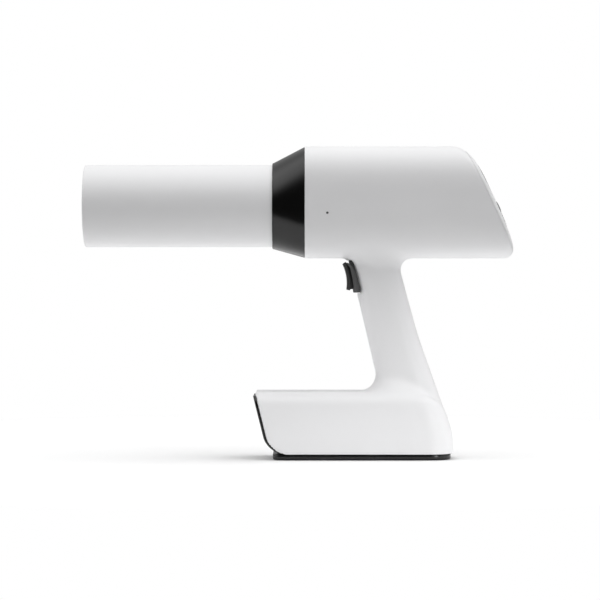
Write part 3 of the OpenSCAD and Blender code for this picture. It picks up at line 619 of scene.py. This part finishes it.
# ---------------------------------------------------------------- rounded outlines and lofts
def arc_corner(a, b, c, r, steps=6):
    a, b, c = (np.array(p, float) for p in (a, b, c))
    if r <= 0:
        return [b]
    u = (a - b) / np.linalg.norm(a - b)
    v = (c - b) / np.linalg.norm(c - b)
    half = math.acos(np.clip(u @ v, -1, 1)) / 2
    middle = b + (u + v) / np.linalg.norm(u + v) * r / math.sin(half)
    p, q = b + u * r / math.tan(half) - middle, b + v * r / math.tan(half) - middle
    start = math.atan2(p[1], p[0])
    sweep = (math.atan2(q[1], q[0]) - start + math.pi) % (2 * math.pi) - math.pi
    return [middle + r * np.array([math.cos(start + sweep * i / steps), math.sin(start + sweep * i / steps)])
            for i in range(steps + 1)]


def rounded(points, steps=6):
    """An outline from (x, z, corner radius) points."""
    count = len(points)
    found = []
    for i, p in enumerate(points):
        found += arc_corner(points[i - 1][:2], p[:2], points[(i + 1) % count][:2], p[2], steps)
    return [tuple(q) for q in found]


def rounded_rectangle(length, width, r, steps=10):
    u, v = length / 2, width / 2
    r = min(r, u - 1e-5, v - 1e-5)
    return rounded([(-u, -v, r), (u, -v, r), (u, v, r), (-u, v, r)], steps)


def loft(name, rings, closed=False):
    """A skin through rings of points; capped at both ends unless it closes on itself."""
    count, total = len(rings[0]), len(rings)
    points = [p for ring in rings for p in ring]
    faces = []
    for k in range(total if closed else total - 1):
        a, b = k * count, ((k + 1) % total) * count
        faces += [(a + i, a + (i + 1) % count, b + (i + 1) % count, b + i) for i in range(count)]
    if not closed:
        faces += [tuple(range(count)), tuple(range((total - 1) * count, total * count))]
    return add_object(name, outward(mesh_from(name, points, faces)))


def soften(piece, width, segments=3, angle=30):
    bevel = piece.modifiers.new("soft_edges", "BEVEL")
    bevel.width = width
    bevel.segments = segments
    bevel.limit_method = "ANGLE"
    bevel.angle_limit = math.radians(angle)
    bevel.harden_normals = False
    return apply_modifiers(piece)


def slope_plate(name, length, width, r, at, under, proud, edge):
    """A plate with a swollen top that follows the back of the head."""
    def ring(inset, out, swell=1):
        outline = rounded_rectangle(length - 2 * inset, width - 2 * inset, max(r - inset, 0.3 * MM))
        return [on_slope(at[0] + u, at[1] + v, out + swell * crown(at[0] + u, at[1] + v)) for u, v in outline]

    rings = [ring(0, under, 0)]
    rings += [ring(edge * (1 - math.cos(a)), proud - edge * (1 - math.sin(a)))
              for a in np.linspace(0, math.pi / 2, 6)]
    reach = min(length, width) / 2
    rings += [ring(edge + (reach - edge) * t, proud) for t in np.linspace(0.06, 0.985, 14)]
    return loft(name, rings)


# ---------------------------------------------------------------- rear bezel, panel and keys
panel_len, panel_w, panel_r = 64 * MM, 62 * MM, 16 * MM
panel_proud = 0.8 * MM
display_at = (-15 * MM, 0)
display_len, display_w = 24 * MM, 38 * MM
key_r = 5 * MM
keys = {
    "key_power": ((23 * MM, 0), "power_key"),
    "key_mode": ((9 * MM, 0), "mode_key"),
    "key_minus": ((9 * MM, -18 * MM), "minus_key"),
    "key_plus": ((9 * MM, 18 * MM), "plus_key"),
}


def slope_rod(name, at, low, high, radius):
    return rod(name, on_slope(at[0], at[1], low), on_slope(at[0], at[1], high), radius)


def slope_box(name, length, width, r, at, low, high):
    outline = rounded_rectangle(length, width, r)
    return loft(name, [[on_slope(at[0] + u, at[1] + v, out) for u, v in outline] for out in (low, high)])


def rear_cutters():
    """The openings that the display and the keys need in the bezel and in the panel."""
    through = 12 * MM
    tools = [slope_box("display_opening", display_len - 4 * MM, display_w - 4 * MM, MM, display_at,
                       -through, through)]
    tools += [slope_rod(node + "_opening", at, -through, through, key_r + 0.3 * MM)
              for node, (at, _) in keys.items()]
    return tools


def clear(tools):
    for tool in tools:
        bpy.data.objects.remove(tool)


bezel_from_x = 130 * MM
bezel_mesh = field_surface("rear_bezel_skin", casing_field,
                           (bezel_from_x, -head_half_w - pad, head_bottom - pad), far_corner, 1.4 * MM)
cut_mesh(bezel_mesh, tuple(joint_at + slope_out * 0.08 * MM), tuple(-slope_out), fill=True)
bezel = add_object("rear_bezel_frame", bezel_mesh)
tools = rear_cutters()
tools.append(slope_box("panel_recess", panel_len + 0.5 * MM, panel_w + 0.5 * MM, panel_r, (0, 0),
                       -1.65 * MM, 12 * MM))
cut_away(bezel, tools)
finish_piece(bezel, white, "root_body", ("rear_bezel",), sharp=40)

panel = slope_plate("control_panel", panel_len, panel_w, panel_r, (0, 0), -1.55 * MM, panel_proud, 0.6 * MM)
seat = slope_box("display_seat", display_len + 0.3 * MM, display_w + 0.3 * MM, 3 * MM, display_at,
                 -0.25 * MM, 12 * MM)
cut_away(panel, tools[:-1] + [seat])
clear(tools + [seat])
finish_piece(panel, gloss, "root_body", ("panel",), sharp=35)

pane = slope_plate("display_window_pane", display_len, display_w, 3 * MM, display_at, -0.2 * MM,
                   panel_proud, 0.25 * MM)
finish_piece(pane, looks["display_glass"], "root_body", ("display_window",))

# A key cap's outline from its hidden skirt to the middle of its dished top: radius and height, in mm
cap_outline = ((6.2, -4.2), (6.2, -3.1), (4.95, -3.0), (4.95, 1.4), (4.8, 1.7), (4.45, 1.92), (3.9, 2.0),
               (2.6, 1.82), (1.2, 1.73), (0.2, 1.7))
for node, (at, body) in keys.items():
    rings = []
    for r, out in cap_outline:
        swell = crown(*at) if out > 0 else 0
        rings.append([on_slope(at[0] + r * MM * math.cos(a), at[1] + r * MM * math.sin(a), out * MM + swell)
                      for a in round_turn(48)])
    cap = loft(node.replace("key_", "") + "_key_cap", rings)
    finish_piece(cap, looks["key_grey"], body, (node,), sharp=50)

# ---------------------------------------------------------------- collar and cone


def section(x, t, inset=0.0, count=128):
    """The collar's section, from the round nose (t = 0) to the squared head (t = 1)."""
    nose_r = cone_r + 1.7 * MM
    half_y = nose_r + (head_half_w - 0.4 * MM - nose_r) * t - inset
    half_z = nose_r + (head_h / 2 - 0.4 * MM - nose_r) * t - inset
    power = 2 + (square - 2) * t
    middle = cone_z + (head_z - cone_z) * t
    ring = []
    for a in round_turn(count):
        c, s = math.cos(a), math.sin(a)
        ring.append((x, half_y * math.copysign(abs(c) ** (2 / power), c),
                     middle + half_z * math.copysign(abs(s) ** (2 / power), s)))
    return ring


collar_len = head_x - collar_x
bore_r = cone_r - 0.55 * MM
mount_lo, mount_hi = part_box("cone_mount")
seat_r = (mount_hi.z - mount_lo.z) / 2 + 0.15 * MM


def bore_ring(x, r, count=128):
    return [(x, r * math.cos(a), cone_z + r * math.sin(a)) for a in round_turn(count)]


rings = [section(collar_x + 0.9 * MM * (1 - math.sin(a)), 0, 0.9 * MM * (1 - math.cos(a)))
         for a in np.linspace(math.pi / 2, 0, 6)]
full = 0.985
rings += [section(collar_x + (1.0 * MM + (collar_len - 1.4 * MM) * t), t * full)
          for t in np.linspace(0.03, 1, 14)]
rings += [section(head_x - 0.25 * MM, full, 0.15 * MM), section(head_x - 0.05 * MM, full, 0.5 * MM)]
seat_x = -9.3 * MM
rings += [bore_ring(head_x - 0.05 * MM, seat_r), bore_ring(seat_x, seat_r), bore_ring(seat_x, bore_r),
          bore_ring(collar_x, bore_r)]
collar = loft("collar_shroud", rings, closed=True)
finish_piece(collar, gloss, "root_body", ("collar",), sharp=45)


def lathe_tree():
    """Geometry Nodes: sweeps the object's outline round the X axis."""
    tree = bpy.data.node_groups.new("lathe_about_x", "GeometryNodeTree")
    face = tree.interface
    face.new_socket("Geometry", in_out="INPUT", socket_type="NodeSocketGeometry")
    radius = face.new_socket("Rail radius", in_out="INPUT", socket_type="NodeSocketFloat")
    steps = face.new_socket("Steps", in_out="INPUT", socket_type="NodeSocketInt")
    height = face.new_socket("Axis height", in_out="INPUT", socket_type="NodeSocketFloat")
    paint = face.new_socket("Material", in_out="INPUT", socket_type="NodeSocketMaterial")
    face.new_socket("Geometry", in_out="OUTPUT", socket_type="NodeSocketGeometry")
    start, end = tree.nodes.new("NodeGroupInput"), tree.nodes.new("NodeGroupOutput")
    outline = tree.nodes.new("GeometryNodeMeshToCurve")
    rail = tree.nodes.new("GeometryNodeCurvePrimitiveCircle")
    sweep = tree.nodes.new("GeometryNodeCurveToMesh")
    lift = tree.nodes.new("ShaderNodeCombineXYZ")
    turn = tree.nodes.new("GeometryNodeTransform")
    turn.inputs["Rotation"].default_value = (0, math.pi / 2, 0)
    real = tree.nodes.new("GeometryNodeRealizeInstances")
    coat = tree.nodes.new("GeometryNodeSetMaterial")
    link = tree.links.new
    link(start.outputs["Geometry"], outline.inputs["Mesh"])
    link(start.outputs["Rail radius"], rail.inputs["Radius"])
    link(start.outputs["Steps"], rail.inputs["Resolution"])
    link(rail.outputs["Curve"], sweep.inputs["Curve"])
    link(outline.outputs["Curve"], sweep.inputs["Profile Curve"])
    link(sweep.outputs["Mesh"], turn.inputs["Geometry"])
    link(start.outputs["Axis height"], lift.inputs["Z"])
    link(lift.outputs["Vector"], turn.inputs["Translation"])
    link(turn.outputs["Geometry"], real.inputs["Geometry"])
    link(real.outputs["Geometry"], coat.inputs["Geometry"])
    link(start.outputs["Material"], coat.inputs["Material"])
    link(coat.outputs["Geometry"], end.inputs["Geometry"])
    return tree, {"radius": radius.identifier, "steps": steps.identifier, "height": height.identifier,
                  "paint": paint.identifier}


lathe_group, lathe_inputs = lathe_tree()


def lathe(name, outline, paint, steps=160):
    """A turned piece from a closed outline of (x, radius) points."""
    rail = max(r for _, r in outline)
    points = [(r - rail, -x, 0) for x, r in outline]
    mesh = bpy.data.meshes.new(name)
    mesh.from_pydata(points, [(i, (i + 1) % len(points)) for i in range(len(points))], [])
    piece = add_object(name, mesh)
    nodes = piece.modifiers.new("lathe", "NODES")
    nodes.node_group = lathe_group
    nodes[lathe_inputs["radius"]] = rail
    nodes[lathe_inputs["steps"]] = steps
    nodes[lathe_inputs["height"]] = cone_z
    nodes[lathe_inputs["paint"]] = paint
    apply_modifiers(piece)
    outward(piece.data)
    return piece


tube_end = cone_hi.x
bore = cone_r - 2.5 * MM
rim = 1.1 * MM
step_x, step_r = collar_x - 0.02 * MM, cone_r - 0.7 * MM
inner_rim = 0.5 * MM
outline = [(tip_x + rim - rim * math.cos(a), cone_r - rim + rim * math.sin(a))
           for a in np.linspace(0, math.pi / 2, 9)]
outline += [(step_x, cone_r), (step_x, step_r), (tube_end, step_r), (tube_end, bore)]
outline += [(tip_x + inner_rim - inner_rim * math.sin(a), bore + inner_rim - inner_rim * math.cos(a))
            for a in np.linspace(0, math.pi / 2, 5)]
tube = lathe("cone_tube_wall", outline, white)
finish_piece(tube, white, "root_body", ("cone_tube",), sharp=40)


# ---------------------------------------------------------------- openings in the casing halves
def beside(offset, drop, r=0.0):
    """A corner by its distance behind the grip's front, its drop under the head and its radius, in mm."""
    x = grip_front_x + drop * MM * math.tan(front_lean) + offset * MM
    return x, head_bottom - drop * MM, r * MM


def at_stem(offset, drop, r=0.0):
    """A corner by its distance behind the back of the trigger's stem, its drop and its radius, in mm."""
    return stem_back + offset * MM, head_bottom - drop * MM, r * MM


def flat(corners):
    """Corners without their radius."""
    return [corner[:2] for corner in corners]


def soft_prism(name, outline, half_width, edge, segments=3):
    piece = prism(name, outline, -half_width, half_width)
    return soften(piece, edge, segments)


pin_z = head_bottom - 5.1 * MM
pin_x = beside(4, 5.1)[0]
stem_back = beside(7.2, 15)[0]


def lip_line(grow):
    """Edge of the opening in the grip's sides, from its top to its bottom."""
    return [beside(-4.6 + grow, 1.9 - grow, 1), beside(0.6 + grow, 5.6 - grow, 5),
            beside(3.0 + grow, 11.6, 8), beside(3.1 + grow, 20), beside(3.2 + grow, 28.6 + grow, 1.2)]


past_sides = 25 * MM
mouth = rounded([beside(-15, 1.5)] + lip_line(0) + [beside(-15, 29.0)])
deep = flat([beside(-15, 1.7), beside(-15, 29.0), at_stem(7.5, 29.0), at_stem(7.5, 1.7)])
openings = [prism("trigger_opening", mouth, -past_sides, past_sides),
            prism("trigger_room", deep, -12 * MM, 12 * MM)]
cut_away(right, openings)
cut_away(left, openings)
clear(openings)

# Where the casing's screw posts stand, as (x, z)
posts = [
    (head_x + 9 * MM, top_z - 9 * MM),
    (head_x + head_len * 0.62, top_z - 10 * MM),
    (head_x + head_len * 0.8, head_bottom + 10 * MM),
    (grip_front(knee_z) + 9 * MM, knee_z + 14 * MM),
    (base_x + 12 * MM, base_h - 10 * MM),
    (base_rear_x - 32 * MM, foot_top + 13 * MM),
]
sinks = [rod("screw_sink_%d" % k, (x, 9 * MM, z), (x, 60 * MM, z), 2.95 * MM)
         for k, (x, z) in enumerate(posts)]
cut_away(right, sinks)
clear(sinks)
socket_z = 16 * MM
socket_hole = rod("socket_opening", (base_rear_x - 12 * MM, 0, socket_z), (base_rear_x + 9 * MM, 0, socket_z),
                  5.65 * MM)
cut_away(right, [socket_hole])
cut_away(left, [socket_hole])
clear([socket_hole])
for half in (right, left):
    half.data.set_sharp_from_angle(angle=math.radians(40))


# ---------------------------------------------------------------- cover, foot
def front_skin(inset, shares, heights):
    """Where the base's front face lies, found along X; shares run from one side of the base to the other."""
    share, z = np.meshgrid(shares, heights, indexing="ij")
    rise = np.clip(z - (base_h - base_edge_r), 0, base_edge_r)
    y = share * (base_half_w - base_edge_r - 1.2 * MM + np.sqrt(base_edge_r ** 2 - rise ** 2))
    low = np.full(y.shape, base_x - 6 * MM)
    high = np.full(y.shape, base_x + 60 * MM)
    for _ in range(40):
        middle = (low + high) / 2
        inside = base_field(middle, y, z, inset, foot_top, toe_r + inset) < 0
        low, high = np.where(inside, low, middle), np.where(inside, middle, high)
    return np.stack([(low + high) / 2, y, z], -1)


def sheet_between(name, outer, inner):
    """A closed plate between two grids of points."""
    n, m = outer.shape[:2]
    points = np.concatenate([outer.reshape(-1, 3), inner.reshape(-1, 3)])
    back = n * m
    faces = []
    for i in range(n - 1):
        for j in range(m - 1):
            a, b, c, d = i * m + j, (i + 1) * m + j, (i + 1) * m + j + 1, i * m + j + 1
            faces += [(a, b, c, d), (back + d, back + c, back + b, back + a)]
    rim = [i * m for i in range(n)] + [(n - 1) * m + j for j in range(1, m)]
    rim += [i * m + m - 1 for i in range(n - 2, -1, -1)] + [j for j in range(m - 2, 0, -1)]
    for a, b in zip(rim, rim[1:] + rim[:1]):
        faces.append((a, b, back + b, back + a))
    return add_object(name, outward(mesh_from(name, points, faces)))


shares = np.linspace(-1, 1, 62)
heights = np.linspace(foot_top + 0.1 * MM, base_h - 3.2 * MM, 44)
wrap = sheet_between("base_front_cover", front_skin(0, shares, heights),
                     front_skin(cover_t - 0.06 * MM, shares, heights))
soften(wrap, 0.7 * MM, 3, 50)
finish_piece(wrap, gloss, "root_body", ("base_cover",), sharp=40)
sheet_front, sheet_back, sheet_top = base_x + 27 * MM, base_rear_x - 24 * MM, foot_top + 2 * MM
sheet = soft_prism("base_floor_plate", [(sheet_front, foot_top), (sheet_back, foot_top),
                                        (sheet_back, sheet_top), (sheet_front, sheet_top)],
                   28.5 * MM, 0.4 * MM)
finish_piece(sheet, gloss, "root_body", ())


def plan_plate(name, outline, low, high, edge):
    """A flat plate from an outline of (x, y) points, with softened edges."""
    piece = loft(name, [[(x, y, z) for x, y in outline] for z in (low, high)])
    return soften(piece, edge, 3, 50)


foot_half_w = base_half_w - 2.5 * MM
toe_corner, heel_corner = 8 * MM, 18 * MM
foot_plan = rounded([(foot_lo.x, -foot_half_w, toe_corner), (foot_hi.x, -foot_half_w, heel_corner),
                     (foot_hi.x, foot_half_w, heel_corner), (foot_lo.x, foot_half_w, toe_corner)], 12)
foot = plan_plate("foot_plate", foot_plan, foot_lo.z, foot_hi.z - 0.05 * MM, 0.8 * MM)
finish_piece(foot, gloss, "root_body", ("foot",), sharp=50)


# ---------------------------------------------------------------- trigger and its surround
def surround_ring(z, count=72):
    """The grip's section at a height, drawn out a little at the front and set in a little at the sides."""
    front, back = grip_front(z) - 4.5 * MM, grip_back(z) - 0.3 * MM
    middle, half_x, half_y = (front + back) / 2, (back - front) / 2, grip_half_w - 0.25 * MM
    ring = []
    for a in round_turn(count):
        c, d = math.cos(a), math.sin(a)
        ring.append((middle + half_x * math.copysign(abs(c) ** 0.8, c),
                     half_y * math.copysign(abs(d) ** 0.8, d), z))
    return ring


surround_heights = np.linspace(head_bottom - 0.5 * MM, head_bottom - 31 * MM, 24)
surround = loft("trigger_surround", [surround_ring(z) for z in surround_heights])
lip = rounded([beside(-4.4, 1.78)] + lip_line(-0.12)
              + [beside(-2.9, 28.48, 0.8), beside(-1.2, 19, 6), beside(-0.9, 7.6, 2), beside(-4.4, 3.4, 0.4)])
inner = flat([beside(-0.5, 2.0), beside(-0.5, 28.4), at_stem(7.3, 28.4), at_stem(7.3, 2.0)])
side_plate = prism("surround_side", lip, -past_sides, past_sides)
core = prism("surround_core", inner, -11.85 * MM, 11.85 * MM)
combine_with(surround, side_plate, "INTERSECT")
combine_with(surround, core, "UNION")
clear([side_plate, core])
notch = prism("blade_notch", flat([beside(-20, 0), beside(-20, 29), beside(-0.8, 29), beside(-0.8, 0)]),
              -9.4 * MM, 9.4 * MM)
well_x, well_top, well_floor = pin_x - 30 * MM, head_bottom - 2.9 * MM, head_bottom - 27.4 * MM
well_back = stem_back + 5.5 * MM
well = prism("trigger_well", [(well_x, well_top), (well_x, well_floor), (well_back, well_floor),
                              (well_back, well_top)], -6.85 * MM, 6.85 * MM)
switch_lo, switch_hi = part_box("trigger_switch")
gap = 0.1 * MM
pocket_lo, pocket_hi, pocket_back = switch_lo.z - gap, switch_hi.z + gap, switch_hi.x + 8 * MM
pocket = prism("switch_pocket", [(switch_lo.x - gap, pocket_lo), (pocket_back, pocket_lo),
                                 (pocket_back, pocket_hi), (switch_lo.x - gap, pocket_hi)],
               switch_lo.y - gap, switch_hi.y + gap)
hinge_hole = rod("hinge_hole", (pin_x, -12 * MM, pin_z), (pin_x, 12 * MM, pin_z), 1.27 * MM)
cut_away(surround, [notch, well, pocket, hinge_hole])
soften(surround, 0.35 * MM, 2, 50)
clear([notch, well, pocket, hinge_hole])
finish_piece(surround, looks["trigger_grey"], "root_body", ("trigger_bezel",), sharp=40)


def curve_beside(drops, offsets):
    """A smooth line through points given as drop under the head and offset from the grip's front."""
    fit = np.polyfit(drops, offsets, 3)
    return [beside(np.polyval(fit, d), d)[:2] for d in np.linspace(drops[0], drops[-1], 16)]


face_outline = (curve_beside([4.7, 8, 13.5, 20, 26.0], [-6.4, -5.7, -5.5, -6.3, -8.1])
                + curve_beside([3.0, 8, 13.5, 20, 26.7], [-3.4, -2.6, -2.7, -3.4, -5.3])[::-1])
blade = soft_prism("trigger_blade", face_outline, 9 * MM, 0.5 * MM)
stem_half_w = 6.5 * MM
stem_outline = rounded([beside(-4, 5), beside(-6.0, 24.5), beside(-4.5, 25.6), at_stem(0, 25.6, 1),
                        at_stem(0, 9, 1), (pin_x + 2 * MM, head_bottom - 7 * MM, 0)])
stem = prism("trigger_stem_side", stem_outline, -stem_half_w, stem_half_w)
boss = rod("trigger_boss", (pin_x, -stem_half_w, pin_z), (pin_x, stem_half_w, pin_z), 3.2 * MM)
combine_with(stem, boss, "UNION")
bore_cut = rod("trigger_bore", (pin_x, -12 * MM, pin_z), (pin_x, 12 * MM, pin_z), 1.3 * MM)
spring_lo, spring_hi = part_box("trigger_spring")
spring_z = (spring_lo.z + spring_hi.z) / 2
spring_seat = rod("spring_seat", (stem_back - 1.6 * MM, 0, spring_z), (stem_back + 2 * MM, 0, spring_z),
                  (spring_hi.z - spring_lo.z) / 2 + 0.6 * MM)
cut_away(stem, [bore_cut, spring_seat])
clear([boss, bore_cut, spring_seat])
soften(stem, 0.3 * MM, 2, 40)
finish_piece(blade, looks["trigger_grey"], "trigger", ("trigger",), sharp=40)
finish_piece(stem, looks["trigger_grey"], "trigger", (), sharp=40)

# ---------------------------------------------------------------- plugs over the casing screws
def side_of_casing(x, z):
    """How far out the casing's side lies at each (x, z)."""
    low, high = np.zeros(x.shape), np.full(x.shape, head_half_w + 5 * MM)
    for _ in range(40):
        middle = (low + high) / 2
        inside = casing_field(x, middle, z) < 0
        low, high = np.where(inside, middle, low), np.where(inside, high, middle)
    return (low + high) / 2


def plug_mesh(x, z):
    turn = round_turn(40)
    rings = []
    for r, sunk in ((2.8, 4.0), (2.8, 0.35), (2.6, 0.15), (1.8, 0.1), (0.9, 0.1), (0.1, 0.1)):
        u, v = x + r * MM * np.cos(turn), z + r * MM * np.sin(turn)
        rings.append(np.stack([u, side_of_casing(u, v) - sunk * MM, v], 1))
    return rings


for k, (x, z) in enumerate(posts):
    plug = loft("screw_plug_%d" % (k + 1), plug_mesh(x, z))
    finish_piece(plug, white, "root_body", ("screw_plugs",) if k == 0 else (), sharp=45)


# ---------------------------------------------------------------- screws, set out with Geometry Nodes
def screw_head(name, radius, height, drive):
    """A low domed head with a six-sided socket; it stands on the origin and faces +Z."""
    rings = []
    for r, z in ((0.55, -1.2), (1.0, -0.02), (1.0, 0.45), (0.9, 0.8), (0.7, 0.97), (0.52, 1.0)):
        rings.append([(radius * r * math.cos(a), radius * r * math.sin(a), height * z)
                      for a in round_turn(36)])
    for z in (1.0, 0.15):
        ring = []
        for a in round_turn(36):
            side = math.cos((a + math.pi / 6) % (math.pi / 3) - math.pi / 6)
            ring.append((drive * math.cos(a) / side, drive * math.sin(a) / side, height * z))
        rings.append(ring)
    return loft(name, rings)


def scatter_tree():
    tree = bpy.data.node_groups.new("set_out_screws", "GeometryNodeTree")
    face = tree.interface
    face.new_socket("Geometry", in_out="INPUT", socket_type="NodeSocketGeometry")
    part = face.new_socket("Screw", in_out="INPUT", socket_type="NodeSocketObject")
    lean = face.new_socket("Turn", in_out="INPUT", socket_type="NodeSocketVector")
    paint = face.new_socket("Material", in_out="INPUT", socket_type="NodeSocketMaterial")
    face.new_socket("Geometry", in_out="OUTPUT", socket_type="NodeSocketGeometry")
    start, end = tree.nodes.new("NodeGroupInput"), tree.nodes.new("NodeGroupOutput")
    source = tree.nodes.new("GeometryNodeObjectInfo")
    spread = tree.nodes.new("GeometryNodeInstanceOnPoints")
    spin = tree.nodes.new("FunctionNodeRandomValue")
    spin.data_type = "FLOAT"
    spin.inputs["Seed"].default_value = 7
    spin.inputs[3].default_value = 6.28
    angles = tree.nodes.new("ShaderNodeCombineXYZ")
    whirl = tree.nodes.new("GeometryNodeRotateInstances")
    real = tree.nodes.new("GeometryNodeRealizeInstances")
    coat = tree.nodes.new("GeometryNodeSetMaterial")
    link = tree.links.new
    link(start.outputs["Screw"], source.inputs["Object"])
    link(start.outputs["Geometry"], spread.inputs["Points"])
    link(source.outputs["Geometry"], spread.inputs["Instance"])
    link(start.outputs["Turn"], spread.inputs["Rotation"])
    link(spin.outputs[1], angles.inputs["Z"])
    link(spread.outputs["Instances"], whirl.inputs["Instances"])
    link(angles.outputs["Vector"], whirl.inputs["Rotation"])
    link(whirl.outputs["Instances"], real.inputs["Geometry"])
    link(real.outputs["Geometry"], coat.inputs["Geometry"])
    link(start.outputs["Material"], coat.inputs["Material"])
    link(coat.outputs["Geometry"], end.inputs["Geometry"])
    return tree, part.identifier, lean.identifier, paint.identifier


scatter_group, screw_input, turn_input, paint_input = scatter_tree()


def set_out(name, places, head, turn, node=None):
    mesh = bpy.data.meshes.new(name)
    mesh.from_pydata([tuple(p) for p in places], [], [])
    piece = add_object(name, mesh)
    nodes = piece.modifiers.new("set_out", "NODES")
    nodes.node_group = scatter_group
    nodes[screw_input] = head
    nodes[turn_input] = turn
    nodes[paint_input] = looks["steel"]
    apply_modifiers(piece)
    return finish_piece(piece, looks["steel"], "root_body", (node,) if node else (), sharp=35)


mount_x = -9.05 * MM
bolt_r = 23 * MM
socket_head = screw_head("socket_head", 2.8 * MM, 3 * MM, 1.25 * MM)
ring = [(mount_x, bolt_r * math.cos(a), cone_z + bolt_r * math.sin(a))
        for a in np.radians([45, 135, 225, 315])]
set_out("cone_mount_screws", ring, socket_head, (0, -math.pi / 2, 0), "mount_screws")
foot_head = screw_head("foot_screw_head", 2.3 * MM, 1.3 * MM, 1.0 * MM)
bolts = [(foot_lo.x + 22 * MM, 0), (base_rear_x - 32 * MM, 20 * MM), (base_rear_x - 32 * MM, -20 * MM)]
set_out("foot_plate_screws", [(x, y, 2.2 * MM) for x, y in bolts], foot_head, (math.pi, 0, 0), "foot_screws")
clear([socket_head, foot_head])
bores = [rod("foot_bore_%d" % k, (x, y, -2 * MM), (x, y, 2.25 * MM), 2.6 * MM)
         for k, (x, y) in enumerate(bolts)]
cut_away(foot, bores)
clear(bores)
foot.data.set_sharp_from_angle(angle=math.radians(50))
